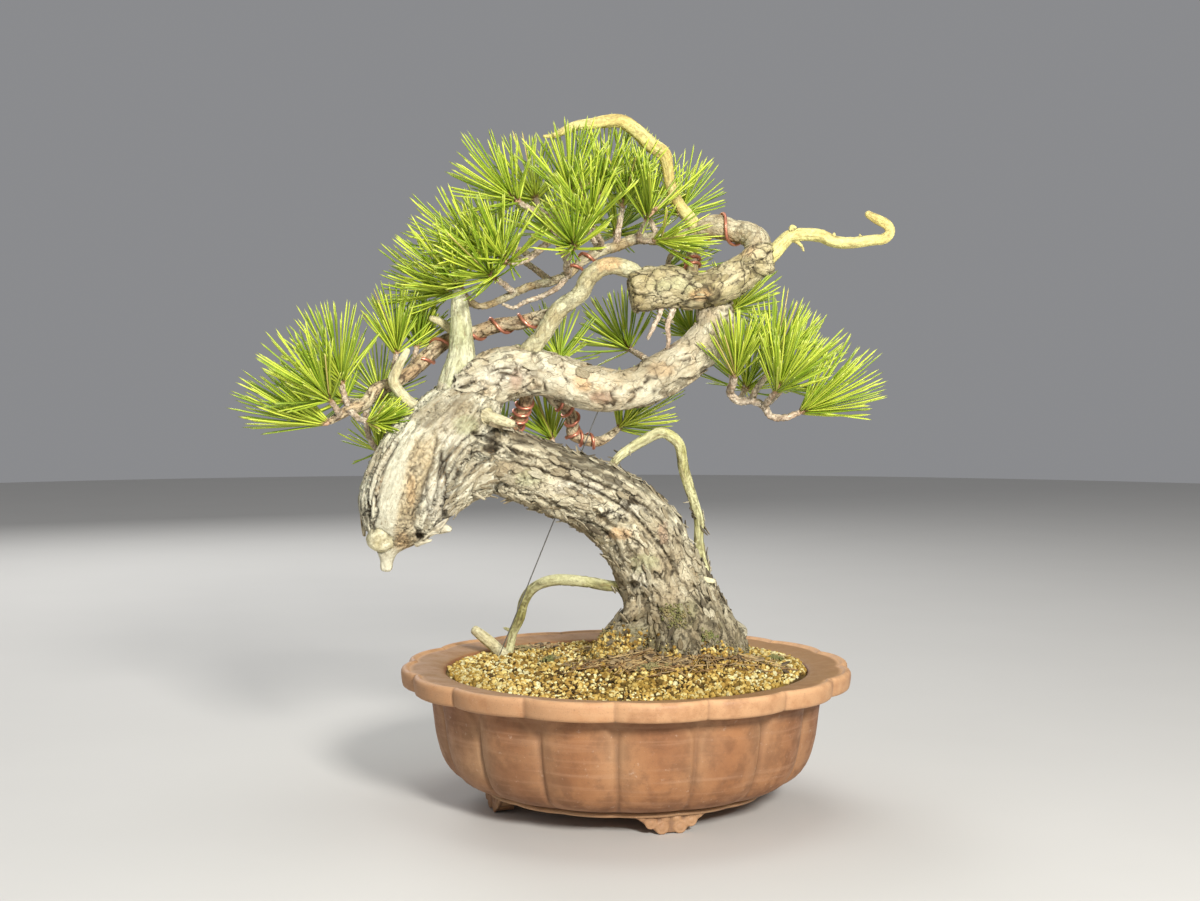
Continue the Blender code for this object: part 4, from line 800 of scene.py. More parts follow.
def bent(points, wave, reach, seed):
    """Points pushed about by smooth noise, so that no pattern on them runs straight."""
    push = np.column_stack([soft_noise(points / wave + 17 * k, seed + k) for k in range(3)])
    return points + (push - 0.5) * 2 * reach


def plated(straight, long, wide, crack, seed=WOOD_SEED):
    """Flaking plates: height, how deep in a crack, and each plate's own tone, all from 0 to 1."""
    spots = bent(bent(straight, 13.0, 0.35 * wide, seed), 4.0, 0.11 * wide, seed + 5) / (long, wide, wide)
    nearest, second, tone, slope = cells(spots, seed)
    cut = 1 - ramp(second - nearest, 0.15 * crack, crack)
    layers = rough_noise(spots * (0.9, 1.3, 1.3), seed + 40, 3) * 5 + 2 * tone
    terrace = layers - np.floor(layers)
    height = 0.25 * tone + 0.45 * terrace + 0.30 * np.clip(0.5 + slope, 0, 1)
    return height * (1 - cut), cut, tone


def fibred(straight, long, wide):
    """Wood fibres: height, how deep in a groove, and a tone that runs along them."""
    strands = bent(straight, 26.0, 0.5 * wide, WOOD_SEED) / (long, wide, wide)
    lines = rough_noise(strands, WOOD_SEED, 3)
    ridge = 1 - np.abs(2 * lines - 1)
    groove = ramp(ridge, 0.88, 0.99)
    return 0.75 * lines + 0.25 * (1 - ridge), groove, soft_noise(strands * 0.6, WOOD_SEED + 9)


def layered(straight, long, wide, step=60, octaves=2):
    """Flaking layers with ragged edges: height, how deep in the shadow of an edge, and a tone."""
    seed = WOOD_SEED + step
    spots = bent(straight, 9.0, 0.25 * wide, seed) / (long, wide, wide)
    levels = rough_noise(spots, seed, octaves) * 4.2
    share = levels - np.floor(levels)
    tone = hashed(np.floor(levels).astype(np.int64), 3, 5, seed)
    return share * ramp(share, 0.0, 0.12), 1 - ramp(share, 0.03, 0.21), tone


def broken(cracks, straight, step=0):
    """The same cracks, open only here and there along their length."""
    gaps = ramp(rough_noise(straight / 12.0, WOOD_SEED + step + 31, 2), 0.36, 0.54)
    return cracks[0], cracks[1] * gaps, cracks[2]


def mixed(first, second, share, first_high, second_high):
    """Two layers of relief: their height in mm, how deep in a crack or in a painted edge shadow, and their
    tone.
    """
    rise = first_high * (first[0] - 0.5 * first[1]) + second_high * (second[0] - 0.6 * second[1])
    return (rise, np.maximum(first[1], share * second[1]),
            (1 - 0.5 * share) * first[2] + 0.5 * share * second[2])


def flaked(relief, flakes, high, share):
    """Relief with finer flakes laid over it."""
    return relief[0] + high * flakes[0], np.maximum(relief[1], share * flakes[1]), relief[2]


def wood_surface(kind, spots):
    """How far each point stands out in mm, how deep it is in a crack or in the painted shadow under a flake's
    edge, and its tone.
    """
    if kind == "old_bark":
        plates = mixed(broken(plated(spots, 36.0, 17.0, 0.06), spots),
                       broken(layered(spots, 50.0, 18.0, 60, 3), spots, 20), 0.9, 1.2, 3.2)
        return flaked(plates, broken(layered(spots, 20.0, 8.0, 90, 4), spots, 50), 1.3, 0.6)
    if kind in ("dead_head", "shard"):
        ridges = mixed(layered(spots, 260.0, 12.0, 0), layered(spots, 170.0, 6.5), 1.0, 2.8, 2.0)
        return flaked(ridges, layered(spots, 130.0, 3.0, 90), 0.6, 0.35)
    if kind == "plates":
        plates = mixed(broken(plated(spots, 42.0, 24.0, 0.05), spots), layered(spots, 80.0, 34.0),
                       0.6, 1.1, 1.8)
        return flaked(plates, layered(spots, 26.0, 12.0, 90, 3), 0.5, 0.15)
    if kind == "log":
        return mixed(plated(spots, 20.0, 12.0, 0.07), layered(spots, 40.0, 17.0), 0.55, 1.3, 2.2)
    if kind == "young":
        return mixed(plated(spots, 14.0, 6.0, 0.08), layered(spots, 46.0, 5.0), 0.8, 0.8, 1.6)
    if kind in ("curved", "smooth_branch"):
        height, cut, tone = plated(spots, 11.0, 5.0, 0.10)
        return 0.9 * height - 0.3 * cut, 0.5 * cut, tone
    if kind == "twig":
        height, cut, tone = plated(spots, 3.0, 2.6, 0.2)
        return 0.7 * height - 0.3 * cut, 0.6 * cut, tone
    height, cut, tone = fibred(spots, 34.0, 3.4)
    return height - 0.5 * cut, (0.75 if kind == "arch" else 0.5) * cut, tone


def patch_share(across, up, patches, points, seed):
    """How far inside any of some ragged patches each point is, from 0 to 1."""
    share = np.zeros(len(across))
    rag = 0.8 * (rough_noise(points / 6.0, seed) - 0.5)
    for at_across, at_up, half_wide, half_high in patches:
        off = np.hypot((across - at_across) / half_wide, (up - at_up) / half_high)
        share = np.maximum(share, 1 - ramp(off + rag, 0.6, 1.1))
    return share


def groove_marks(across, up, points):
    """How deep in mm the drawn grooves are at each point of the front, and how dark their painted shade is.
    """
    depth, dark = np.zeros((2, len(across)))
    wander = np.column_stack([soft_noise(points / 5.0, 33), soft_noise(points / 5.0, 34)]) - 0.5
    spots = np.column_stack([across, up]) + 2.6 * wander
    uneven = 0.6 + 0.8 * soft_noise(points / 9.0, 35)
    for route, half_wide, deep, groove_shade in GROOVES:
        gap = np.full(len(across), 99.0)
        for start, end in zip(np.array(route[:-1], float), np.array(route[1:], float)):
            run = end - start
            share = np.clip(((spots - start) @ run) / (run @ run), 0, 1)
            gap = np.minimum(gap, np.linalg.norm(spots - start - share[:, None] * run, axis=1))
        cut = np.exp(-(gap / (half_wide * uneven)) ** 2)
        depth = np.maximum(depth, deep * cut)
        dark = np.maximum(dark, groove_shade * cut)
    return depth, dark


def along_line(place, line, **beyond):
    """The height, or the place across, of a drawn line at each place."""
    return np.interp(place, *np.array(line, float).T, **beyond)


def head_zones(across, up):
    """How much each point of the hanging head is in its smooth panel, and in its ochre band."""
    left, middle, right = (along_line(up, line) for line in (PANEL_LEFT, PANEL_RIGHT, BAND_RIGHT))
    height = ramp(up, 200, 212) * (1 - ramp(up, 282, 296))
    panel = ramp(across, left - 0.5, left + 1.5) * (1 - ramp(across, middle - 2, middle + 3))
    band = ramp(across, middle - 2, middle + 3) * (1 - ramp(across, right - 3, right + 2))
    beak = (1 - ramp(up, 201, 206)) * (1 - ramp(across, -180, -174))
    return np.maximum(panel * height, beak), band * ramp(up, 196, 206) * (1 - ramp(up, 282, 300))


def surface_kinds(points, straight, tubes, owner):
    """The kind of wood at each point: its limb's own, or the head's where that wood runs on."""
    kinds = np.array([row[3] for row in tubes])[owner]
    ragged = 26.0 * (rough_noise(points / 9.0, 77) - 0.5)
    routes = [route for route, _ in LIMBS]
    for limb, first, last in HEAD_GRAIN:
        mine = owner == routes.index(limb)
        along = straight[:, 0] - LIMB_SHIFT * routes.index(limb)
        end = along[mine].max() - last
        kinds[mine & ((along + ragged < first) | ((last > 0) & (along + ragged > end)))] = "dead_head"
    return kinds


def all_relief(points, tubes, owner, ring):
    """The tree's relief at each point: rise in mm, how deep in a crack or in painted shade, tone and place,
    by name.
    """
    straight, radius = straightened(points, tubes, owner, ring)
    rise, cut, tone = np.zeros((3, len(points)))
    widest = np.array([row[1].max() for row in tubes])[owner]
    along_skin = straight.copy()
    along_skin[:, 1:] *= (widest / np.maximum(radius, 0.2 * widest))[:, None]
    kinds = surface_kinds(points, straight, tubes, owner)
    for kind in np.unique(kinds):
        mine = kinds == kind
        spots = straight if kind in SCALY or kind == "knob" else along_skin
        rise[mine], cut[mine], tone[mine] = wood_surface(kind, spots[mine])
    across, up = on_sheet(points)
    front = 1 - ramp(points[:, 1], -14, 2)
    own = np.array([row[3] for row in tubes])[owner]
    on_head, on_trunk, on_knob = (own == kind for kind in ("dead_head", "old_bark", "knob"))
    on_head, on_trunk = on_head * front, on_trunk * front

    panel, band = (zone * on_head for zone in head_zones(across, up))
    scales = plated(points, 4.5, 4.0, 0.2, 140)
    rise = rise * (1 - 0.8 * panel) * (1 - 0.5 * band) + 1.4 * panel + band * (1.2 * scales[0] - 0.3)
    cut = cut * (1 - 0.95 * panel) * (1 - 0.7 * band) + 0.6 * band * scales[1]
    cut = cut * (1 - on_head * np.maximum(0.45 * ramp(up, 280, 300), 0.55 * ramp(across, -166, -158)))
    cup = np.hypot((across - WHORL[0]) / 9, (up - WHORL[1]) / 6)
    whorl = np.maximum(on_head, on_knob)
    rise = rise + whorl * (2.0 * np.exp(-((cup - 1) / 0.22) ** 2) - 1.6 * (1 - ramp(cup, 0.3, 0.9)))
    # A dark ring painted in the whorl's sunken middle, as shade inside its rim
    cut = np.maximum(cut, 0.55 * whorl * np.exp(-((cup - 0.62 - 0.3 * (tone - 0.5)) / 0.10) ** 2))

    ragged = 3.0 * (rough_noise(points / 7.0, 91) - 0.5) + up
    above = [ragged - along_line(across, line, left=999.0, right=999.0) for line, _ in CRUST_STEPS]
    for past, (_, high) in zip(above, CRUST_STEPS):
        rise = rise + on_trunk * high * (ramp(past, -0.3, 0.5) - 0.6)
        # A dark line painted just below each step, as the step's shadow
        cut = np.maximum(cut, on_trunk * (1 - ramp(np.abs(past + 1.1), 0.8, 2.1)))
    streak = ramp(rough_noise(straight / (30.0, 3.0, 3.0), 92, 3), 0.40, 0.56)
    crust = on_trunk * ramp(above[0], 1.0, 4.0) * (0.45 + 0.40 * ramp(-across, -30, 10)) * streak
    cut = np.maximum(cut, crust)

    deep, dark = groove_marks(across, up, points)
    hollow = patch_share(across, up, HOLLOWS, points, 5) * front
    thick = ramp(radius, 6, 10) * front
    limit = 0.14 * radius + 0.12
    rise = np.clip(rise, -limit, limit) - deep * thick - 4.5 * hollow
    # Painted shade: the grooves and the hollows are darkened as well as carved in
    cut = np.maximum(cut, np.maximum(dark * thick, 0.95 * hollow))
    return SimpleNamespace(rise=rise, cut=cut, tone=tone, panel=panel, band=band, kinds=kinds,
                           straight=straight, radius=radius)


class PINE_OT_wood(Operator):
    """Grow the trunk, the dead wood, the limbs and the twigs as one piece"""

    bl_idname = "pine.wood"
    bl_label = "Wood"

    def execute(self, context):
        look = context.scene.pine_bark
        tubes = wood_tubes()
        shapes = []
        for middles, radii, sides, _ in tubes:
            points, quads = tube(middles, radii, sides)
            ends = [list(range(sides))[::-1], list(range(len(points) - sides, len(points)))]
            shapes.append((points, quads.tolist() + ends))
        wood = copies_joined("pine_wood", shapes)
        melted(wood, look.fineness, 5)

        points = corners_of(wood)
        owner, ring, skin = sorted_by_tube(points, tubes)
        thin = 1 - ramp(straightened(points, tubes, owner, ring)[1], 3.5, 9.0)
        points += (skin - points) * thin[:, None]
        place_corners(wood, points)
        rise = all_relief(points, tubes, owner, ring).rise * look.relief
        outward = np.empty(len(points) * 3)
        wood.data.vertices.foreach_get("normal", outward)
        place_corners(wood, points + outward.reshape(-1, 3) * rise[:, None])

        thinner = wood.modifiers.new("Fewer faces where flat", "DECIMATE")
        faces = sum(len(face.vertices) - 2 for face in wood.data.polygons)
        thinner.ratio = min(1.0, look.most_faces / faces)
        bpy.ops.object.modifier_apply(modifier=thinner.name)
        colour_wood(wood, tubes)
        dress(finished("pine_wood"), bark_material(), "wood")
        return {"FINISHED"}


def tinted(colour, share, tint):
    """Colours with a tint laid over them, each by its own share."""
    share = share[:, None]
    return colour * (1 - share) + np.array(tint) * share


def colour_wood(wood, tubes):
    """Writes the bark's colour on each corner, from the same pattern as its relief, with painted shade under
    flake edges, in grooves and hollows and over the trunk's foot.
    """
    points = corners_of(wood)
    owner, ring, _ = sorted_by_tube(points, tubes)
    marks = all_relief(points, tubes, owner, ring)
    drift = rough_noise(points / 15.0, 71)
    speck = rough_noise(points / 2.4, 73)
    pale, middle, deep = (np.array([WOOD_COLOURS[kind][k] for kind in marks.kinds]) for k in range(3))
    colour = tinted(middle, ramp(0.45 * marks.tone + 0.9 * drift + 0.35 * speck, 0.5, 1.1), pale)
    across, up = on_sheet(points)
    front = 1 - ramp(points[:, 1], -6, 14)
    for patches, tint, seed, strength in PATCHES:
        share = patch_share(across, up, patches, points, seed) * front * strength
        colour = tinted(colour, share, tint)
    # The trunk's foot near the soil is darkened: moss and dirt, and partly painted shade
    depth_under_foot_line = soil_height(points[:, 0], points[:, 1]) + 60 - points[:, 2] + 70 * (drift - 0.5)
    moss_dirt_and_shade = ramp(depth_under_foot_line, 0, 44) * ramp(marks.radius, 5, 9)
    for zone, tint in ((0.95 * moss_dirt_and_shade, (0.145, 0.115, 0.055)), (0.9 * marks.panel, (0.80, 0.78, 0.60)),
                       (0.75 * marks.band, (0.74, 0.57, 0.31))):
        colour = tinted(colour, zone * (0.7 + 0.5 * (speck - 0.5)), tint)
    # The deep colour goes into the cracks and into the painted shade under edges, in grooves and in hollows
    paint(wood, "bark_colour", tinted(colour, np.clip(marks.cut, 0, 1), deep))
    paint(wood, "crack", marks.cut)
    broad, scaly = (np.array([table.get(kind, usual) for kind in marks.kinds])
                    for table, usual in ((BROAD_CRACKS, 1.0), (SCALY, 0.0)))
    paint(wood, "straight", marks.straight / broad[:, None] * MM)
    paint(wood, "scaly", scaly * (1 - np.maximum(marks.panel, marks.band)))


def bark_material():
    """Bark and bare wood: its painted colour, fine cracks where scaly, fine fibres elsewhere, and painted
    shadow under the steps of its layers.
    """
    bark = Finish("pine_bark")
    straight = bark.read("straight", "Vector")
    grain = bark.noise(420.0, 4.0, 0.65)
    fleck = bark.noise(1400.0, 3.0, 0.6)
    crack = bark.read("crack")
    scaly = bark.read("scaly")
    push = bark.add("TexNoise", Vector=straight, Scale=160.0, Detail=3.0).outputs["Color"]
    push = bark.add("VectorMath", {"operation": "MULTIPLY"}, _0=push, _1=(0.004, 0.004, 0.004)).outputs[0]
    pushed = bark.add("VectorMath", {"operation": "ADD"}, _0=straight, _1=push).outputs[0]
    lines = []
    tones = []
    for long, wide, breadth in ((0.013, 0.0065, 0.038), (0.0055, 0.0026, 0.055)):
        plates = bark.stretched(pushed, (1 / long, 1 / wide, 1 / wide))
        edge = bark.add("TexVoronoi", {"feature": "DISTANCE_TO_EDGE"}, Vector=plates, Scale=1.0)
        lines.append(bark.between(edge.outputs["Distance"], breadth, 0.2 * breadth))
        plate = bark.add("TexVoronoi", Vector=plates, Scale=1.0).outputs["Color"]
        tones.append(bark.add("SeparateColor", Color=plate).outputs[0])
    patchy = bark.noise(130.0, 2.0, where=pushed)
    broad = bark.times(lines[0], bark.between(patchy, 0.44, 0.56))
    narrow = bark.times(lines[1], bark.between(patchy, 0.56, 0.44))
    fine = bark.times(bark.maths("MAXIMUM", broad, bark.times(narrow, 0.55)), scaly)
    fibre = bark.noise(1.0, 4.0, 0.6, bark.stretched(pushed, (45.0, 700.0, 700.0)))
    smooth = bark.maths("SUBTRACT", 1.0, scaly)
    toned = bark.blend(bark.between(grain, 0.35, 0.7), (0.80, 0.78, 0.74), (1.0, 1.0, 1.0))
    bark.colour = bark.blend(1.0, bark.read("bark_colour", "Color"), toned, "MULTIPLY")
    each = bark.times(bark.maths("ADD", *tones), 0.5)
    bark.coat(bark.times(bark.between(each, 0.25, 0.75, 0.30, 0.0), scaly), (0.34, 0.27, 0.16))
    layers = bark.noise(1.0, 3.0, where=bark.stretched(pushed, (60.0, 150.0, 150.0)))
    layers = bark.maths("FRACT", bark.times(layers, 6.0), 0.5)
    # Painted shadow: a dark band on the low side of each layer's step
    step = bark.times(bark.between(layers, 0.0, 0.16, 0.75, 0.0), bark.between(grain, 0.40, 0.55))
    bark.coat(bark.times(step, bark.between(scaly, 0.0, 0.5, 0.10, 1.0)), (0.10, 0.07, 0.04))
    bark.coat(bark.times(bark.between(fibre, 0.54, 0.66, 0.0, 0.5), smooth), (0.26, 0.17, 0.08))
    bark.coat(bark.times(fine, 0.85), (0.045, 0.032, 0.02))
    bark.coat(bark.times(bark.between(fleck, 0.58, 0.74), 0.25), (0.14, 0.10, 0.06))
    bark.bump(bark.maths("SUBTRACT", bark.times(layers, 0.8), fine), 0.0007, 0.8)
    bark.bump(bark.times(fibre, smooth), 0.0008, 0.7)
    bark.bump(grain, 0.0008, 0.55)
    bark.bump(fleck, 0.0003, 0.5)
    return bark.done(Roughness=bark.between(crack, 0.0, 1.0, 0.72, 0.94), Specular_IOR_Level=0.3)


# Loose bark: limb, share of its length, turns round it (half a turn is its upper edge, three
# quarters its front), how many, their length, their width as a share of it, how far they lift in
# degrees and how many are dark
FLAKE_BANDS = [
    (TRUNK, (0.24, 0.97), (2.8, 3.3), 230, (7.0, 16.0), (0.14, 0.30), (3, 24), 0.45),
    (TRUNK, (0.24, 0.97), (3.3, 4.1), 50, (8.0, 15.0), (0.3, 0.5), (3, 14), 0.2),
    (TRUNK, (0.30, 0.97), (5.3, 6.7), 60, (8.0, 16.0), (0.2, 0.45), (4, 20), 0.1),
    (TRUNK, (0.28, 0.97), (4.1, 5.3), 36, (7.0, 16.0), (0.25, 0.5), (2, 12), 0.0),
    (TRUNK, (0.24, 0.97), (0.5, 2.75), 90, (9.0, 22.0), (0.2, 0.5), (0, 16), 0.1),
    (THROAT, (0.05, 0.95), (3.6, 5.0), 26, (10.0, 20.0), (0.12, 0.22), (3, 16), 0.0),
    (THROAT, (0.05, 0.95), (5.0, 6.4), 26, (7.0, 15.0), (0.14, 0.3), (4, 20), 0.0),
    (MAIN_LIMB, (0.10, 0.98), (0.0, TAU), 30, (9.0, 18.0), (0.4, 0.7), (0, 5), 0.0),
    (UPPER_LOG, (0.06, 0.94), (0.0, TAU), 44, (5.0, 11.0), (0.4, 0.7), (0, 9), 0.0),
    (ROOT_CORNER, (0.1, 0.8), (0.0, TAU), 24, (6.0, 12.0), (0.3, 0.6), (0, 12), 0.2),
    (ROOT_FRONT, (0.1, 0.8), (0.0, TAU), 24, (6.0, 12.0), (0.3, 0.6), (0, 12), 0.2),
    (ROOT_SKIRT, (0.05, 0.9), (0.0, TAU), 60, (5.0, 12.0), (0.3, 0.6), (0, 24), 0.35)]


def flake_prototypes():
    """A few ragged flakes, 1 long and 1 wide, lying flat, with a thin edge."""
    shapes = []
    for seed, sides in ((3, 9), (8, 11), (14, 10), (21, 12), (35, 9)):
        deselect_all()
        bpy.ops.mesh.primitive_circle_add(vertices=sides, radius=0.5, fill_type="NGON")
        start_editing()
        bpy.ops.transform.vertex_random(offset=0.13, seed=seed)
        bpy.ops.transform.resize(value=(1.0, 1.0, 0.1))
        bpy.ops.mesh.extrude_region_move(TRANSFORM_OT_translate={"value": (0, 0, 0.03)})
        bpy.ops.transform.resize(value=(0.93, 0.90, 1.0))
        bpy.ops.mesh.inset(thickness=0.14, depth=0.01)
        bpy.ops.mesh.select_all(action="SELECT")
        bpy.ops.mesh.quads_convert_to_tris()
        close_up()
        shapes.append(small_shape())
    return shapes


def over_hollow(point):
    """Whether a place on the bark is in or beside a hollow of the front, which is painted dark as shade."""
    across, up = on_sheet(point[None])
    gaps = [math.hypot((across[0] - at) / (wide + 4), (up[0] - high) / (tall + 4))
            for at, high, wide, tall in HOLLOWS]
    return point[1] < 0 and min(gaps) < 1


def loose_flake(chance, band, prototypes, skin, middle, ahead):
    """One flake on the bark: its points and faces, its colours and its flat place; None over a gap."""
    route, _, turns, _, sizes, widths, lifts, dark = band
    up = unit(np.array([0, 0, 1.0]) - ahead * ahead[2])
    out = swung(np.cross(ahead, up), up, chance.uniform(*turns) - math.pi / 2)
    hit, normal, _, _ = skin.ray_cast((middle[:3] + out * middle[3] * 1.8).tolist(), (-out).tolist())
    size = chance.uniform(*sizes)
    tone = chance.uniform()
    lift = math.radians(chance.uniform(*lifts)) * (1 if chance.uniform() < 0.6 else -1)
    spin = chance.normal(0, 0.22)
    points, faces = prototypes[chance.integers(len(prototypes))]
    wide = chance.uniform(*widths)
    if hit is None or (np.array(hit) - middle[:3]) @ out < 0.5 * middle[3] or over_hollow(np.array(hit)):
        return None
    level = unit(np.array(normal) + out)
    along = unit(ahead - level * (ahead @ level))
    across = np.cross(level, along)
    along, across = swung(along, across, spin), swung(across, -along, spin)
    raised = swung(along, level, lift)
    bend = size * points[:, 0] ** 2 * chance.uniform(-0.10, 0.22)
    curl = (size * wide * points[:, 1]) ** 2 / (1.8 * middle[3])
    placed = (np.array(hit) + level * 0.5 + size * points[:, :1] * raised
              + size * wide * points[:, 1:2] * across
              + (18.0 * points[:, 2:3] + (bend - curl)[:, None]) * np.cross(raised, across))
    pale, middle_tone, _ = WOOD_COLOURS["log" if route is UPPER_LOG else "old_bark"]
    colour = np.array(pale) * tone + np.array(middle_tone) * (1 - tone)
    if route in (ROOT_CORNER, ROOT_FRONT, ROOT_SKIRT):
        colour = colour * (0.42, 0.40, 0.34)
    if chance.uniform() < dark:
        colour = colour * 0.25 + np.array((0.04, 0.032, 0.022)) * (0.5 + tone)
    rim = np.clip(2.2 * np.linalg.norm(points[:, :2], axis=1)[:, None] - 0.2, 0, 1)
    flat = np.column_stack([points[:, :2] * size, points[:, 2]]) * MM + chance.uniform(0, 9)
    return (placed, faces), colour * (1 - 0.25 * rim), flat


class PINE_OT_bark_flakes(Operator):
    """Lay loose flakes of bark over the trunk, the log and the thick limbs"""

    bl_idname = "pine.bark_flakes"
    bl_label = "Bark flakes"

    def execute(self, context):
        chance = np.random.default_rng(51)
        prototypes = flake_prototypes()
        skin = skin_of(bpy.data.objects["pine_wood"])
        laid = []
        for band in FLAKE_BANDS:
            path = smooth_route(band[0], 2.0)
            ahead = frames(path[:, :3])[0]
            for _ in range(band[3]):
                i = int(chance.uniform(*band[1]) * (len(path) - 1))
                laid.append(loose_flake(chance, band, prototypes, skin, path[i], ahead[i]))
        shapes, colours, flat = map(list, zip(*(flake for flake in laid if flake)))
        strewn("bark_flakes", shapes, "bark", bpy.data.materials["pine_bark"], bark_colour=colours,
               crack=0.0, straight=flat, scaly=0.45)
        bpy.ops.object.shade_smooth_by_angle(angle=math.radians(25))
        return {"FINISHED"}


# Sprays whose needles don't spread evenly round their shoot: the way they point, their spread in
# degrees and their length
SPECIAL_SPRAYS = {
    "middle": ((-0.1, 0.9, -0.45), 86, 56), "front_low": ((-0.1, 0.8, -0.6), 70, 50),
    "pad_tip": ((-0.86, 0.66, 0), 31, 70), "pad_top": ((-0.35, 0.95, -0.1), 56, 58),
    "pad_front": ((-0.75, 0.7, -0.4), 48, 60), "pad_root": ((0.35, 0.95, 0.25), 48, 36),
    "right_tip": ((0.84, 0.62, -0.1), 42, 66), "right_front": ((0.45, 0.88, -0.45), 42, 58),
    "right_top": ((0.2, 0.98, 0), 44, 62)}


def needle_prototype():
    """One needle along +X, 1 long and 1 in radius: three-sided, with a fine tip."""
    deselect_all()
    bpy.ops.mesh.primitive_circle_add(vertices=3, radius=1.0, fill_type="NGON",
                                      rotation=(0, math.pi / 2, 0))
    bpy.ops.object.transform_apply(location=False, rotation=True, scale=False)
    start_editing()
    for step, width in ((0.12, 1.15), (0.30, 1.0), (0.30, 0.98), (0.21, 0.92)):
        bpy.ops.mesh.extrude_region_move(TRANSFORM_OT_translate={"value": (step, 0, 0)})
        bpy.ops.transform.resize(value=(1, width, width))
    bpy.ops.mesh.extrude_region_move(TRANSFORM_OT_translate={"value": (0.07, 0, 0)})
    bpy.ops.mesh.merge(type="CENTER")
    close_up()
    return small_shape()


def shoot_middles(route, aim):
    """The middles of a spray's slim shoot: on from its twig's end, then the way the spray points."""
    knots = [from_front(*point[:3]) for point in route[-2:]]
    on = unit(knots[1] - knots[0])
    way = unit(np.array([aim[0], aim[2], aim[1]]) + SHOOT_FOLLOW * on)
    middles = [knots[1] + on * 0.35]
    for band in range(SHOOT_BANDS):
        lean = min(1.0, band / 2)
        middles.append(middles[-1] + SHOOT_BAND_LENGTH * unit(on * (1 - lean) + way * lean))
    return np.array(middles), way


def solid_capsules():
    """Points along all wood, with how far a needle must stay from each."""
    rows = [smooth_route(route, 3.0) + (0, 0, 0, 1.2) for route, _ in LIMBS]
    rows += [smooth_route(route, 3.0)[:-1] + (0, 0, 0, 0.6) for route, *_ in SPRAYS.values()]
    return np.vstack(rows)


def hides_top_jin(marks):
    """Whether a needle would pass in front of the bare jin at the top right."""
    leg = smooth_route(TOP_JIN[:9], 4.0)[:, :3]
    leg_across, leg_up = on_sheet(leg)
    across, up = on_sheet(marks)
    near = np.hypot(across[:, None] - leg_across, up[:, None] - leg_up) < 6.5
    return bool((near & (marks[:, 1][:, None] < leg[:, 1])).any())


def square_to(way):
    """Two directions square to a spray's own and to each other."""
    start = unit(np.cross(way, (0.3, 0.2, 0.9)))
    return start, np.cross(way, start)


def needle_lines(chance, middles, way, spread, length, pairs, solids):
    """Foot, tip and bow of each needle, in pairs, spiralling up the shoot and clear of the wood."""
    lines = []
    for k in range(pairs):
        share = (k + 0.5) / pairs
        at = share * (len(middles) - 1)
        foot = np.array([np.interp(at, np.arange(len(middles)), middles[:, c]) for c in range(3)])
        for attempt in range(14):
            turn = k * GOLDEN_TURN + chance.normal(0, 0.14 + 0.12 * attempt)
            lean = spread + (NEEDLE_INNER_SPREAD - spread) * share ** 1.7
            lean = math.radians(max(4.0, lean + chance.normal(0, 7.5 + attempt)))
            out = swung(*square_to(way), turn)
            reach = unit(swung(way, out, lean) + (0, 0, NEEDLE_LIFT))
            long = length * (0.86 + 0.14 * share) * chance.uniform(0.80, 1.06)
            marks = foot + reach * (long * np.array([0.18, 0.34, 0.5, 0.66, 0.82, 1.0]))[:, None]
            gaps = np.linalg.norm(marks[:, None] - solids[None, :, :3], axis=2) - solids[None, :, 3]
            if gaps.min() > 0.2 and not (k % 5 and hides_top_jin(marks)):
                break
        else:
            continue
        split = np.radians(chance.uniform(2.5, 7.0))
        aside = unit(np.cross(reach, out + 0.3 * way)) if k % 2 else unit(np.cross(reach, out) + 0.4 * out)
        for side in (-1, 1):
            aim = unit(reach + side * math.tan(split) * aside)
            bow = chance.uniform(0.0, 0.16) * long * unit(0.35 * out + np.array([0, 0, 0.8]))
            bow = bow - side * 0.02 * long * aside
            lines.append((foot + out * 1.1 + side * aside * 0.35, foot + out * 1.1 + aim * long, bow))
    return lines


def needle_shapes(lines, prototype, radius):
    """The prototype laid along each line and bowed."""
    points, faces = prototype
    shapes = []
    for foot, tip, bow in lines:
        ahead = unit(tip - foot)
        up = unit(bow - ahead * (bow @ ahead))
        share, right, above = points[:, :1], points[:, 1:2], points[:, 2:3]
        placed = (foot + (tip - foot) * share + bow * (share ** 2 - 0.35 * share)
                  + radius * (right * np.cross(ahead, up) + above * up))
        shapes.append((placed, faces))
    return shapes


def bud_shapes(middles, way, chance):
    """The shoot under the needles: a slim tapered core with pointed scales round its tip."""
    points, quads = tube(middles, SHOOT_RADIUS * np.array([1.0, 1.05, 1.0, 0.95, 0.85, 0.45]), 8)
    last = len(points) - 8
    faces = quads.tolist() + [list(range(8))[::-1]]
    faces += [[last + k, last + (k + 1) % 8, len(points)] for k in range(8)]
    shapes = [(np.vstack([points, middles[-1] + way * 2.2]), faces)]
    for k in range(14):
        out = swung(*square_to(way), k * GOLDEN_TURN)
        foot = middles[-1] - way * (1.0 - 0.32 * k * 0.5) * chance.uniform(0.8, 1.2)
        foot = foot + out * (1.5 - 0.07 * k)
        half = np.cross(way, out) * (0.9 - 0.03 * k)
        scale = np.array([foot - half, foot + half, foot + out * 0.5,
                          foot + way * 2.6 + out * (0.5 - 0.04 * k)])
        shapes.append((scale, [[0, 1, 3], [1, 2, 3], [2, 0, 3], [0, 2, 1]]))
    return shapes


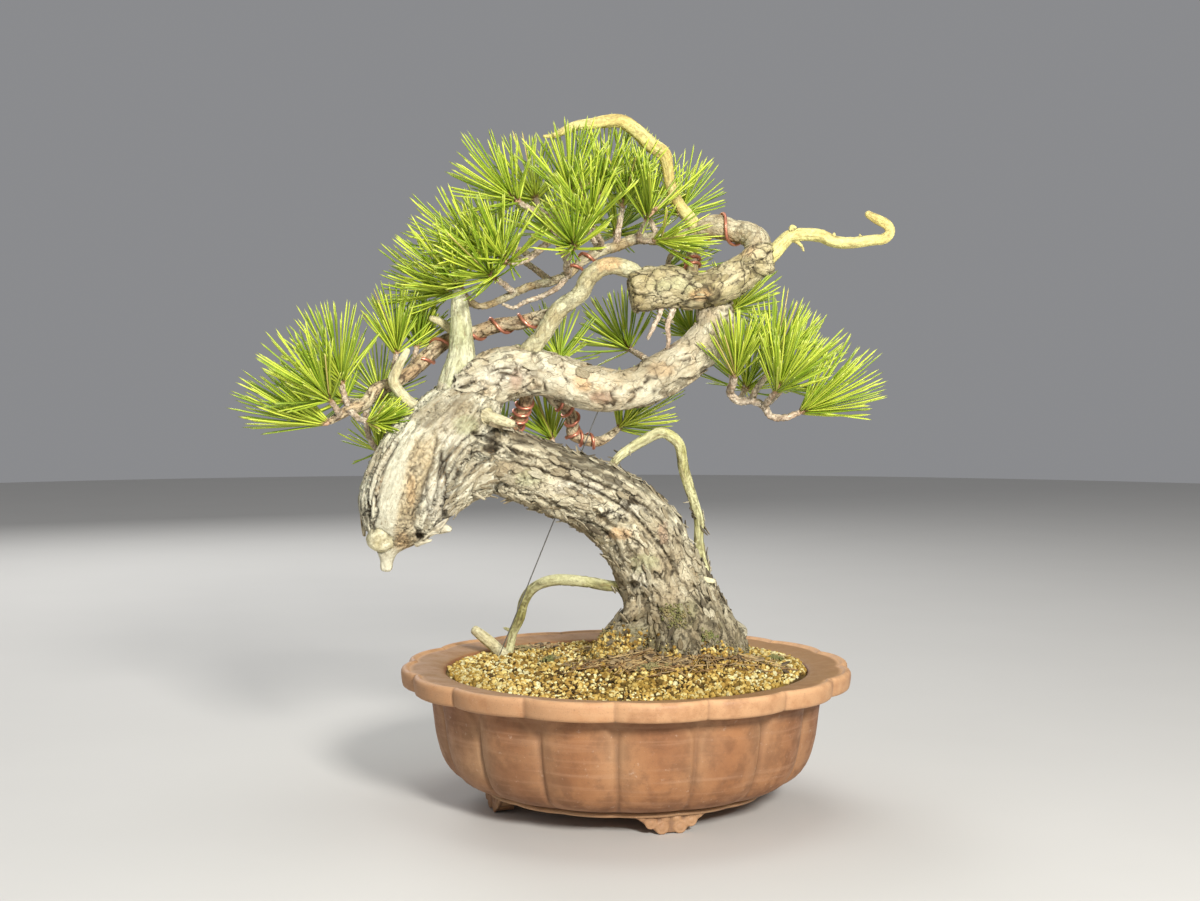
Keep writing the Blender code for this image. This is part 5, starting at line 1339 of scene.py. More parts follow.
class PINE_OT_needles(Operator):
    """Grow every spray: its bud and its paired needles, as one piece a spray"""

    bl_idname = "pine.needles"
    bl_label = "Needle sprays"

    def execute(self, context):
        look = context.scene.pine_needles
        prototype = needle_prototype()
        solids = solid_capsules()
        material = needle_material()
        for number, (name, (route, aim, spread, length)) in enumerate(SPRAYS.items()):
            chance = np.random.default_rng(400 + number)
            aim, spread, length = SPECIAL_SPRAYS.get(name, (aim, spread * look.openness, length))
            middles, way = shoot_middles(route, aim)
            lines = needle_lines(chance, middles, way, spread, length, look.pairs, solids)
            needles = needle_shapes(lines, prototype, look.radius / MM)
            buds = bud_shapes(middles, way, chance)
            along = [prototype[0][:, 0]] * len(needles) + [np.full(len(points), -1.0) for points, _ in buds]
            tone = [np.full(len(prototype[0]), value) for value in chance.uniform(0, 1, len(needles))]
            tone += [np.full(len(points), chance.uniform()) for points, _ in buds]
            spray = strewn("spray_" + name, needles + buds, "needle", material, along=along, tone=tone)
            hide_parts("needles_" + name)
        return {"FINISHED"}


def needle_material():
    """Pine needles: yellow-green, lighter at the tip, brown-sheathed at the foot; buds brown."""
    needle = Finish("pine_needle")
    along = needle.read("along")
    tone = needle.read("tone")
    wander = needle.noise(60.0, 2.0)
    green = needle.maths("ADD", needle.times(tone, 0.7), needle.times(wander, 0.5))
    needle.colour = needle.blend(needle.between(green, 0.2, 1.0), (0.22, 0.35, 0.018), (0.68, 0.78, 0.08))
    needle.coat(needle.between(tone, 0.984, 0.99), (0.60, 0.48, 0.16))
    needle.coat(needle.between(along, 0.86, 1.0, 0.0, 0.5), (0.70, 0.70, 0.22))
    needle.coat(needle.between(along, 0.09, 0.02), (0.50, 0.33, 0.18))
    needle.coat(needle.between(along, -0.2, -0.8), (0.52, 0.33, 0.20))
    needle.bump(needle.noise(900.0, 2.0), 0.0002, 0.3)
    return needle.done(Roughness=needle.between(wander, 0.3, 0.7, 0.38, 0.52), Specular_IOR_Level=0.5)


def winding_points(name):
    """A wire's route round its limb."""
    route, start, end, rise = WINDINGS[name]
    path = smooth_route(route, 0.5)
    along = lengths_along(path[:, :3])
    first, last = start * along[-1], end * along[-1]
    _, normals, sideways = frames(path[:, :3])
    points = []
    for at in np.linspace(first, last, max(3, round((last - first) / rise * POINTS_A_TURN))):
        i = min(int(np.searchsorted(along, at)), len(path) - 1)
        reach = path[i, 3] + WIRE_GAP + COPPER_RADIUS
        points.append(path[i, :3] + reach * swung(normals[i], sideways[i], TAU * (at - first) / rise))
    return np.array(points)


def wire_piece(name, points, radius):
    """A round wire along its points, drawn as a curve and turned into a mesh."""
    deselect_all()
    bpy.ops.curve.primitive_nurbs_path_add()
    wire = in_hand().data
    wire.splines.clear()
    spline = wire.splines.new("POLY")
    spline.points.add(len(points) - 1)
    spline.points.foreach_set("co", np.column_stack([points * MM, np.ones(len(points))]).ravel())
    wire.bevel_depth = radius * MM
    wire.bevel_resolution = 4
    wire.use_fill_caps = True
    bpy.ops.object.convert(target="MESH")
    return finished(name)


class PINE_OT_wires(Operator):
    """Wind the copper training wires and draw the guy wire"""

    bl_idname = "pine.wires"
    bl_label = "Wires"

    def execute(self, context):
        copper = copper_material()
        for name in WINDINGS:
            wire = wire_piece("wound_" + name, winding_points(name), COPPER_RADIUS)
            dress(wire, copper, name)
        top, foot = from_front(*GUY_TOP), from_front(*GUY_FOOT)
        line = np.array([top + (foot - top) * share for share in np.linspace(0, 1, 24)])
        guy = wire_piece("straight_guy_wire", line, GUY_RADIUS)
        dress(guy, steel_material(), "guy_wire")
        return {"FINISHED"}


def copper_material():
    """Annealed copper wire: orange-red, with darker tarnish and fine drawing marks."""
    copper = Finish("copper_wire")
    tarnish = copper.noise(130.0, 4.0)
    copper.colour = copper.blend(copper.between(tarnish, 0.35, 0.7), (0.80, 0.33, 0.22), (0.50, 0.19, 0.12))
    copper.bump(copper.noise(900.0, 2.0), 0.0002, 0.3)
    return copper.done(Roughness=copper.between(tarnish, 0.3, 0.7, 0.32, 0.55), Metallic=0.75)


def steel_material():
    """Galvanised wire: grey and a little dull."""
    steel = Finish("guy_wire")
    dull = steel.noise(240.0)
    steel.colour = steel.blend(dull, (0.40, 0.40, 0.39), (0.22, 0.22, 0.21))
    steel.bump(dull, 0.0001, 0.3)
    return steel.done(Roughness=steel.between(dull, 0.3, 0.7, 0.3, 0.55), Metallic=0.9)


# Soil that clings to the foot of the trunk: place on the front view sheet, half width, half height
# and how many grains
CLINGING_GRAINS = [((-14, 120), 26, 15, 1300), ((26, 114), 22, 6, 300), ((72, 118), 16, 7, 120)]

# Where the litter is thickest and the soil is darkest: in front of the trunk's foot
LITTER_MIDDLE = (84.0, -36.0)

# Colours of the grains, from the darkest tone to the palest
GRAIN_COLOURS = [
    (0.0, (0.03, 0.018, 0.006)), (0.14, (0.10, 0.06, 0.018)), (0.26, (0.30, 0.18, 0.04)),
    (0.45, (0.52, 0.33, 0.08)), (0.66, (0.72, 0.52, 0.15)), (0.84, (0.93, 0.80, 0.34)),
    (1.0, (0.92, 0.90, 0.55))]

# Moss: place on the front view sheet, half width, half depth, and how green it is
MOSS_PATCHES = [((-8, 122), 22, 15, 0.35), ((66, 128), 9, 6, 1.0), ((82, 122), 6, 4, 0.8),
                ((-60, 112), 10, 7, 0.7), ((-84, 120), 12, 8, 0.2), ((20, 106), 16, 6, 0.45),
                ((120, 112), 8, 5, 0.6)]

# Moss that climbs the foot of the trunk: place on the front view sheet, half width, half height,
# how green it is and how many tufts
BARK_MOSS = [
    ((-8, 121), 24, 12, 0.2, 1100), ((-16, 131), 9, 7, 0.45, 160), ((-26, 115), 14, 8, 0.25, 300),
    ((41, 147), 10, 9, 0.7, 190), ((33, 152), 6, 5, 0.6, 60), ((66, 131), 6, 5, 0.9, 70),
    ((26, 118), 20, 7, 0.25, 200), ((84, 118), 20, 6, 0.4, 120)]

# A tuft's faces: its foot, its two rings and its tip
TUFT_FACES = [[0, 2, 1], [0, 1, 4, 3], [1, 2, 5, 4], [2, 0, 3, 5], [3, 4, 6], [4, 5, 6], [5, 3, 6]]

# Litter: place on the front view sheet, how wide and how deep it lies, and how many bits
LITTER_SPOTS = [((30, 112), 44, 20, 200), ((-88, 122), 30, 16, 150), ((0, 114), 50, 22, 130),
                ((90, 112), 44, 26, 70), ((-10, 122), 26, 14, 120)]


def soil_height(x, y):
    """The soil's surface: level with the lip's inner edge, mounded up round the trunk."""
    off = np.hypot(x - MOUND_MIDDLE[0], y - MOUND_MIDDLE[1])
    lumps = np.sin(0.21 * x + 1.0) * np.sin(0.17 * y) + 0.6 * np.sin(0.43 * x - 0.37 * y)
    edge = np.maximum(0.0, 1 - (np.hypot(x - POT_AXIS_X, y) / 140.0) ** 6)
    return SOIL_EDGE_TOP + MOUND_HEIGHT * np.exp(-(off / MOUND_SPREAD) ** 2) + 1.1 * lumps * edge


def on_soil(across, up):
    """The place on the soil that a point of the front view sheet looks at."""
    ray = np.array([from_front(across, up, depth) for depth in np.linspace(-150, 150, 301)])
    above = ray[:, 2] - soil_height(ray[:, 0], ray[:, 1])
    return ray[int(np.argmin(np.abs(above)))]


def from_axis(x, y):
    return math.hypot(x - POT_AXIS_X, y)


def in_wood(points, grow):
    """Whether each point is inside a limb or a root."""
    inside = np.zeros(len(points), bool)
    for route, _ in LIMBS:
        path = smooth_route(route, 3.0)
        low = path[path[:, 2] < 150]
        if len(low):
            gaps = np.linalg.norm(points[:, None] - low[None, :, :3], axis=2) - low[None, :, 3]
            inside |= gaps.min(axis=1) < grow
    return inside


def spun(name, profile, steps, closed):
    """A body turned round the pot's axis from its profile of radii and heights."""
    count = len(profile)
    edges = [(k, (k + 1) % count) for k in range(count if closed else count - 1)]
    piece = new_piece(name, [(POT_AXIS_X + radius, 0.0, height) for radius, height in profile], [], edges)
    start_editing()
    bpy.ops.mesh.spin(steps=steps, angle=TAU, center=(POT_AXIS_X * MM, 0, 0), axis=(0, 0, 1))
    bpy.ops.mesh.select_all(action="SELECT")
    bpy.ops.mesh.remove_doubles(threshold=1e-6)
    close_up()
    return piece


class PINE_OT_soil(Operator):
    """Fill the pot with one body of soil, lumpy on top"""

    bl_idname = "pine.soil"
    bl_label = "Soil"

    def execute(self, context):
        wall = [(0, FLOOR_TOP + 2.2), (31, FLOOR_TOP + 2.2), (31.5, FLOOR_TOP + 0.4),
                (111.6, FLOOR_TOP + 0.4), (135.6, 40), (143.5, 78), (144.5, 106)]
        top = [(radius, 106.5) for radius in np.arange(142.5, 0, -2.5)] + [(0, 106.5)]
        body = spun("soil_body", wall + top, 200, closed=False)
        points = corners_of(body)
        surface = points[:, 2] > 106.2
        x, y = points[surface, 0], points[surface, 1]
        flat = np.column_stack([x, y, np.zeros(len(x))])
        rough = 2.4 * (rough_noise(flat / 3.2, 91, 2) - 0.5) + 1.6 * (rough_noise(flat / 14.0, 95, 2) - 0.5)
        points[surface, 2] = soil_height(x, y) - 1.2 + rough
        place_corners(body, points)
        # The soil body under the grains is painted dark, as shade in the gaps between them
        paint(body, "tone", 0.12)
        dress(finished("soil_body"), soil_material(), "soil")
        return {"FINISHED"}


def stone_prototypes():
    """A few knobbly grains, 1 in radius."""
    shapes = []
    for seed in (2, 5, 9, 13, 17, 23):
        deselect_all()
        bpy.ops.mesh.primitive_ico_sphere_add(subdivisions=1, radius=1.0)
        start_editing()
        bpy.ops.transform.vertex_random(offset=0.26, seed=seed)
        bpy.ops.transform.resize(value=(1.0, 0.86, 0.74))
        bpy.ops.object.mode_set(mode="OBJECT")
        shapes.append(small_shape())
    return shapes


def random_turn(chance):
    """A rotation matrix, any way up."""
    w, x, y, z = unit(chance.normal(size=4))
    return np.array([[1 - 2 * (y * y + z * z), 2 * (x * y - z * w), 2 * (x * z + y * w)],
                     [2 * (x * y + z * w), 1 - 2 * (x * x + z * z), 2 * (y * z - x * w)],
                     [2 * (x * z - y * w), 2 * (y * z + x * w), 1 - 2 * (x * x + y * y)]])


def spots_on_bark(chance, place, wide, high, count):
    """Places on the bark, with the way it faces there, scattered round a place on the front view sheet."""
    skin = skin_of(bpy.data.objects["pine_wood"])
    spots = []
    for _ in range(count):
        spread = chance.normal(0, 0.5, 2)
        near, far = (from_front(place[0] + wide * spread[0], place[1] + high * spread[1], depth)
                     for depth in (-140, 60))
        hit, normal, _, _ = skin.ray_cast(near.tolist(), unit(far - near).tolist())
        if hit is not None and hit[2] > soil_height(hit[0], hit[1]) - 1:
            spots.append((np.array(hit), np.array(normal)))
    return spots


class PINE_OT_grains(Operator):
    """Cover the soil with loose baked clay grains"""

    bl_idname = "pine.grains"
    bl_label = "Soil grains"

    def execute(self, context):
        chance = np.random.default_rng(77)
        prototypes = stone_prototypes()
        pitch = context.scene.pine_soil.grain_pitch / MM
        spots = []
        for row, y in enumerate(np.arange(-144, 144, pitch * 0.87)):
            for x in np.arange(-144 + (row % 2) * pitch / 2, 144, pitch):
                spots.append((x, y))
        spots = np.array(spots) + chance.uniform(-0.42, 0.42, (len(spots), 2)) * pitch
        spots = spots[np.hypot(spots[:, 0], spots[:, 1]) < 143.0]
        x, y = spots[:, 0] + POT_AXIS_X, spots[:, 1]
        sizes = np.clip(chance.lognormal(math.log(1.6), 0.32, len(spots)), 0.8, 3.0)
        places = np.column_stack([x, y, soil_height(x, y) - 0.6 + chance.uniform(-0.6, 1.0, len(spots))])
        keep = ~in_wood(places, -0.5)
        shapes = []
        tones = []
        for place, size in zip(places[keep], sizes[keep]):
            points, faces = prototypes[chance.integers(len(prototypes))]
            shapes.append((place + size * points @ random_turn(chance).T, faces))
            off = math.hypot((place[0] - LITTER_MIDDLE[0]) / 70, (place[1] - LITTER_MIDDLE[1]) / 42)
            paler = 0.12 * ramp(abs(place[0] - POT_AXIS_X), 40, 110)
            tones.append(np.full(len(points), chance.uniform() * (0.35 + 0.65 * min(1.0, off)) + paler))
        for clinging in CLINGING_GRAINS:
            for hit, normal in spots_on_bark(chance, *clinging):
                points, faces = prototypes[chance.integers(len(prototypes))]
                size = chance.uniform(0.7, 2.1)
                shapes.append((hit + 0.3 * size * normal + size * points @ random_turn(chance).T, faces))
                tones.append(np.full(len(points), 0.9 * chance.uniform()))
        strewn("soil_grains", shapes, "soil", bpy.data.materials["akadama_soil"], tone=tones)
        bpy.ops.object.shade_flat()
        return {"FINISHED"}


def soil_material():
    """Baked clay grains: ochre, gold and brown with some dark ones, dusty and dull."""
    soil = Finish("akadama_soil")
    dust = soil.noise(520.0, 4.0, 0.6)
    drift = soil.noise(22.0, 2.0)
    ramped = soil.add("ValToRGB", Fac=soil.read("tone"))
    stops = ramped.color_ramp.elements
    while len(stops) < len(GRAIN_COLOURS):
        stops.new(0.5)
    for stop, (position, colour) in zip(stops, GRAIN_COLOURS):
        stop.position = position
        stop.color = (*colour, 1.0)
    dusty = soil.blend(1.0, ramped.outputs[0], (0.62, 0.58, 0.52), "MULTIPLY")
    soil.colour = soil.blend(soil.between(dust, 0.3, 0.7), dusty, ramped.outputs[0])
    soil.coat(soil.between(drift, 0.44, 0.66, 0.0, 0.55), (0.34, 0.22, 0.04))
    soil.bump(dust, 0.0006, 0.7)
    return soil.done(Roughness=soil.between(dust, 0.3, 0.7, 0.85, 0.98), Specular_IOR_Level=0.2)


def tuft(foot, way, size, turn):
    """A tiny pointed tuft of moss."""
    side = unit(np.cross(way, (math.cos(turn), math.sin(turn), 0.1)))
    outs = [swung(side, np.cross(way, side), t) for t in (0, TAU / 3, 2 * TAU / 3)]
    ring = [foot + 0.30 * size * out for out in outs]
    waist = [foot + way * size * 0.5 + 0.38 * size * out for out in outs]
    return np.array(ring + waist + [foot + way * size]), TUFT_FACES


class PINE_OT_moss(Operator):
    """Grow cushions of moss on the soil and up the trunk's foot"""

    bl_idname = "pine.moss"
    bl_label = "Moss"

    def execute(self, context):
        chance = np.random.default_rng(88)
        shapes = []
        tones = []
        for (across, up), wide, deep, green in MOSS_PATCHES:
            middle = on_soil(across, up)
            for _ in range(round(2.6 * wide * deep)):
                turn, reach = chance.uniform(0, TAU), math.sqrt(chance.uniform())
                ragged = 0.75 + 0.35 * math.sin(3 * turn + across) + 0.2 * math.sin(7 * turn)
                x = middle[0] + math.cos(turn) * reach * wide * ragged
                y = middle[1] + math.sin(turn) * reach * deep * ragged
                if from_axis(x, y) > 142:
                    continue
                high = 3.2 * (1 - 0.8 * reach ** 2)
                foot = np.array([x, y, float(soil_height(x, y)) + high - 0.8])
                lean = chance.normal(0, 0.5, 2)
                shapes.append(tuft(foot, unit(np.array([*lean, 1.0])), chance.uniform(1.6, 3.0), turn))
                tones.append(np.full(7, green * chance.uniform(0.5, 1.0)))
        for place, wide, high, green, count in BARK_MOSS:
            for hit, normal in spots_on_bark(chance, place, wide, high, count):
                way = unit(normal + (0, 0, 0.4) + chance.normal(0, 0.35, 3))
                shapes.append(tuft(hit - way * 0.4, way, chance.uniform(1.4, 3.0), chance.uniform(0, TAU)))
                tones.append(np.full(7, green * chance.uniform(0.4, 1.0)))
        strewn("moss_cushions", shapes, "soil", moss_material(), tone=tones)
        return {"FINISHED"}


def moss_material():
    """Moss: grey-green to yellow-green, dull."""
    moss = Finish("moss")
    mottle = moss.noise(160.0)
    moss.colour = moss.blend(moss.read("tone"), (0.21, 0.165, 0.075), (0.15, 0.20, 0.04))
    moss.coat(moss.between(mottle, 0.4, 0.7), (0.32, 0.26, 0.12))
    moss.bump(mottle, 0.0004, 0.4)
    return moss.done(Roughness=moss.between(mottle, 0.3, 0.7, 0.8, 0.95))


class PINE_OT_litter(Operator):
    """Scatter fallen needles and bark chips on the soil"""

    bl_idname = "pine.litter"
    bl_label = "Litter"

    def execute(self, context):
        chance = np.random.default_rng(99)
        needle = needle_prototype()
        chips = flake_prototypes()
        shapes = []
        tones = []
        for (across, up), wide, deep, count in LITTER_SPOTS:
            middle = on_soil(across, up)
            for k in range(count):
                x = middle[0] + chance.normal(0, 0.5) * wide
                y = middle[1] + chance.normal(0, 0.5) * deep
                if from_axis(x, y) > 136:
                    continue
                turn = chance.uniform(0, TAU)
                ahead = np.array([math.cos(turn), math.sin(turn), 0])
                spot = np.array([x, y, float(soil_height(x, y)) + 1.6])
                if k % 3:
                    long = chance.uniform(14, 38)
                    foot, tip = spot - ahead * long / 2, spot + ahead * long / 2
                    for end in (foot, tip):
                        end[2] = soil_height(end[0], end[1]) + 1.9
                    if from_axis(tip[0], tip[1]) > 142:
                        continue
                    bow = np.array([-ahead[1], ahead[0], 0.15]) * chance.normal(0, 0.10) * long
                    shapes += needle_shapes([(foot, tip, bow + (0, 0, 0.01))], needle, 0.5)
                    tones.append(np.full(len(needle[0]), chance.uniform(0.3, 1)))
                else:
                    points, faces = chips[chance.integers(len(chips))]
                    size = chance.uniform(4, 11)
                    level = unit(np.array([*chance.normal(0, 0.25, 2), 1.0]))
                    along = unit(ahead - level * (ahead @ level))
                    placed = (spot + (0, 0, 0.5) + size * points[:, :1] * along
                              + 0.55 * size * points[:, 1:2] * np.cross(level, along)
                              + 18.0 * points[:, 2:3] * level)
                    shapes.append((placed, faces))
                    tones.append(np.full(len(points), chance.uniform(-1, -0.2)))
        strewn("fallen_needles_and_bark", shapes, "soil", litter_material(), tone=tones)
        return {"FINISHED"}


def litter_material():
    """Fallen needles, straw to brown, and bark chips, dark to grey."""
    litter = Finish("fallen_needles_and_bark")
    tone = litter.read("tone")
    mottle = litter.noise(300.0)
    straw = litter.blend(litter.between(tone, 0.3, 1.0), (0.28, 0.15, 0.055), (0.60, 0.43, 0.19))
    chip = litter.blend(litter.between(tone, -1.0, -0.2), (0.07, 0.042, 0.02), (0.40, 0.29, 0.15))
    litter.colour = litter.blend(litter.between(tone, 0.0, 0.2), chip, straw)
    litter.coat(litter.between(mottle, 0.35, 0.7, 0.0, 0.5), (0.10, 0.07, 0.035))
    litter.bump(mottle, 0.0004, 0.5)
    return litter.done(Roughness=litter.between(mottle, 0.3, 0.7, 0.75, 0.95))


# The dressed pot's profile: radius, height and groove depth, from the drain hole out under the
# floor, up the outside, over the lip with its bead and down the inside
POT_PROFILE = [
    (17, 13, 0), (17.6, 12.9, 0), (60, 13, 0), (96, 13, 0), (98.5, 13.1, 0), (101, 13.3, 0.2),
    (108, 13.5, 1.0), (113, 13.7, 1.8), (115.4, 14.1, 2.2), (116.4, 14.9, 2.4), (116.5, 16.0, 2.4),
    (115.7, 17.0, 2.4), (114.4, 17.5, 2.3), (114.2, 18.2, 2.2), (116.4, 18.8, 2.2), (120, 19.5, 2.2),
    (125, 20.7, 2.3), (130, 22.7, 2.6), (135, 25.5, 3.0),
    (139, 28.4, 3.4), (142.6, 32.2, 3.7), (145.6, 36.6, 3.9), (148, 41.5, 4), (149.8, 46.5, 4),
    (151.2, 52, 4), (152.2, 56, 4), (153, 60, 4), (153.7, 65, 4), (154.3, 70, 4), (154.9, 75, 4),
    (155.5, 80, 3.8), (156, 84, 3.6), (156.4, 87, 3.4), (156.7, 89.5, 3.2), (156.9, 91.5, 3),
    (157.1, 93.4, 2.8), (157.8, 95.2, 2.8), (159.4, 96.5, 3.0), (162, 97.1, 3.4), (168, 97.3, 4.2),
    (174, 97.3, 5.0), (177.4, 97.7, 5.4), (179, 98.8, 5.5), (179.6, 100.6, 5.5), (180, 103, 5.5),
    (180.3, 105.6, 5.5), (180.5, 108, 5.5), (180.3, 110, 5.5), (179.5, 111.5, 5.5),
    (178, 112.4, 5.4), (176.4, 112.5, 5.3), (175.2, 111.9, 5.2), (174.4, 111.1, 5.1),
    (173.2, 110.8, 4.8), (170, 110.9, 4.0), (164, 110.6, 2.4), (157, 110, 1.0), (151, 109.3, 0.3),
    (147.6, 108.8, 0), (145.8, 107.9, 0), (145, 106.4, 0), (144.6, 100, 0), (144, 78, 0),
    (141, 58, 0), (136, 40, 0), (126, 30, 0), (112, 21, 0), (60, 21, 0), (17.6, 21.1, 0), (17, 21, 0)]

# The channel between two lobes: its half width, its depth, and how it widens to the lip
CHANNEL_HALF_WIDTH = 1.7
CHANNEL_DEPTH = 1.1
CHANNEL_FLARE_FOOT = 74.0
CHANNEL_FLARE_TOP = 95.0
CHANNEL_FLARE_WIDTH = 15.0

# Half of a foot's outline: shares of its half width, and heights
FOOT_OUTLINE = [
    (0.99, 17.6), (1.0, 14.0), (0.98, 12.4), (0.87, 10.6), (0.77, 8.4), (0.70, 6.4), (0.60, 5.4),
    (0.51, 4.6), (0.48, 2.6), (0.41, 0.9), (0.27, 0.0)]

# A foot's raised scrolls and the curls round them: share of the half width, height and radius
FOOT_SCROLLS = [(0.80, 12.0, 2.6), (0.56, 8.2, 3.2), (0.16, 11.0, 3.6), (0.25, 3.6, 3.6)]
FOOT_CURLS = [(0.56, 8.2, 3.9), (0.25, 4.0, 4.3)]


def lobe(turn):
    """0 in the middle of a lobe, 1 at the groove between two."""
    share = ((turn - NOTCH_TURN) / (TAU / POT_LOBES)) % 1.0
    return np.abs(2 * share - 1) ** 2.4


def channel_edge(aside, height):
    """Distance outside the channel between two lobes, negative inside it, in mm."""
    flare = np.clip((height - CHANNEL_FLARE_FOOT) / (CHANNEL_FLARE_TOP - CHANNEL_FLARE_FOOT), 0, 1)
    return np.abs(aside) - CHANNEL_HALF_WIDTH - CHANNEL_FLARE_WIDTH * flare ** 2.4


class PINE_OT_pot(Operator):
    """Turn the pot, press its lobes, channels and notches, and set it on its bracket feet"""

    bl_idname = "pine.pot"
    bl_label = "Pot"

    def execute(self, context):
        profile = np.array(POT_PROFILE)
        steps = context.scene.pine_pot.steps_round
        pot = spun("clay_pot", profile[:, :2].tolist(), steps, closed=True)
        points = corners_of(pot)
        x, y, height = points[:, 0] - POT_AXIS_X, points[:, 1], points[:, 2]
        radius = np.hypot(x, y)
        turn = np.arctan2(x, -y)
        nearest = np.argmin(np.hypot(radius[:, None] - profile[:, 0],
                                     height[:, None] - profile[:, 1]), axis=1)
        groove = profile[nearest, 2]
        pitch = TAU / POT_LOBES
        from_notch = ((turn - NOTCH_TURN + pitch / 2) % pitch - pitch / 2) * radius
        outer = (groove > 0) & (height > 18.5) & (height < 96) & (radius > 116)
        lip = (radius > 172) & (height > 96)
        edge = channel_edge(from_notch, height)
        channel = 1 - ramp(edge, -1.5, 1.5)
        inward = groove * lobe(turn) * (1 + 0.3 * ramp(height, 26, 44) * (1 - ramp(height, 84, 94)))
        inward = inward + outer * (CHANNEL_DEPTH * channel * ramp(height, 19, 26))
        inward = inward + lip * (0.6 * np.exp(-(from_notch / 1.4) ** 2))
        settle = 0.35 * (rough_noise(points / 38.0, 61) - 0.5) * (radius > 120)
        scale = (radius - inward + settle) / radius
        points[:, 0] = POT_AXIS_X + x * scale
        points[:, 1] = y * scale
        place_corners(pot, points)

        ring = (radius < 117) & (radius > 106) & (height < 18.0)
        shade_over_ring = (height > 17.2) & (height < 18.9) & (radius < 117)
        flat_top = (radius > 146) & (radius < 175.6) & (height > 108)
        # Painted light: the lip is paler on its face and towards its right, where light falls, as well as
        # rubbed
        rubbed_and_lit = lip * ((0.5 + 0.25 * ramp(x, -120, 30)) + 0.25 * ramp(height, 108.5, 112.0))
        # Pale lines beside the channels: painted highlights on their edges, with some wear
        beside = outer * (0.18 * ramp(height, 40, 80) * np.exp(-((edge - 1.8) / 2.4) ** 2))
        # Painted shade: darker in the channels, in the lip's notches and in the band above the foot ring
        channel_shade = outer * (0.5 * channel * (1 - 0.8 * ramp(height, 72, 88)))
        notch_shade = lip * (0.5 * np.exp(-(from_notch / 1.2) ** 2))
        bloom = 0.4 * ramp(-x, 20, 120) * ramp(95 - height, 0, 50) + 0.9 * ring
        bloom = bloom + outer * (0.55 * np.abs(lobe(turn)) ** 0.6 * ramp(height, 20, 60))
        # Wear and painted light together; the foot ring is paler, partly as painted light
        paint(pot, "worn", np.maximum(np.maximum(rubbed_and_lit, beside), 0.8 * ring))
        paint(pot, "top", flat_top * (1 - ramp(radius, 174.5, 176.5)))
        # The deep layer is painted shade
        paint(pot, "deep", np.maximum(np.maximum(channel_shade, notch_shade), 0.9 * shade_over_ring))
        paint(pot, "bloom", bloom)
        clay = clay_material()
        dress(finished("clay_pot"), clay, "pot")
        set_bracket_feet(clay)
        return {"FINISHED"}


def set_bracket_feet(clay):
    """One cloud-scroll foot, extruded, knobbed and softened, then copied to its four places."""
    half = FOOT_WIDTH / 2
    outline = [(-share * half, height) for share, height in FOOT_OUTLINE]
    outline += [(share * half, height) for share, height in FOOT_OUTLINE[::-1]]
    outer_face = -(FOOT_MIDDLE_RADIUS + FOOT_THICK / 2 - 0.8)
    slab = new_piece("foot", [(across, outer_face, height) for across, height in outline],
                     [list(range(len(outline)))])
    start_editing()
    bpy.ops.mesh.extrude_region_move(TRANSFORM_OT_translate={"value": (0, (FOOT_THICK - 0.8) * MM, 0)})
    bpy.ops.transform.resize(value=(0.92, 1, 1))
    close_up()
    knobs = []
    for share, height, radius in FOOT_SCROLLS:
        for side in (-1, 1):
            bpy.ops.mesh.primitive_uv_sphere_add(
                segments=24, ring_count=12, radius=radius * MM, scale=(1, 0.5, 0.9),
                location=(side * share * half * MM, outer_face * MM, height * MM))
            knobs.append(in_hand())
    for share, height, radius in FOOT_CURLS:
        for side in (-1, 1):
            bpy.ops.mesh.primitive_torus_add(
                major_segments=24, minor_segments=8, major_radius=radius * MM, minor_radius=1.1 * MM,
                location=(side * share * half * MM, (outer_face - 0.3) * MM, height * MM),
                rotation=(math.pi / 2, 0, 0))
            knobs.append(in_hand())
    make_active(slab)
    for knob in knobs:
        knob.select_set(True)
    bpy.ops.object.join()
    bpy.ops.object.transform_apply(location=True, rotation=True, scale=True)
    melted(slab, 0.0007, 3)
    points, faces = corners_of(slab), faces_of(slab)
    bpy.data.objects.remove(slab, do_unlink=True)
    x, y, height = points.T
    # The flat face between the scrolls is painted darker, as shade in its recess
    hollow = (y < outer_face + 2.0) * (1 - ramp(outer_face - y, -0.3, 0.9))
    shapes = []
    for degrees in FOOT_TURNS:
        cos, sin = math.cos(math.radians(degrees)), math.sin(math.radians(degrees))
        placed = np.column_stack([POT_AXIS_X + x * cos - y * sin, x * sin + y * cos, height - height.min()])
        shapes.append((placed, faces))
    strewn("clay_feet", shapes, "clay", clay, worn=0.2, deep=[hollow] * len(FOOT_TURNS), bloom=0.85, top=0.0)


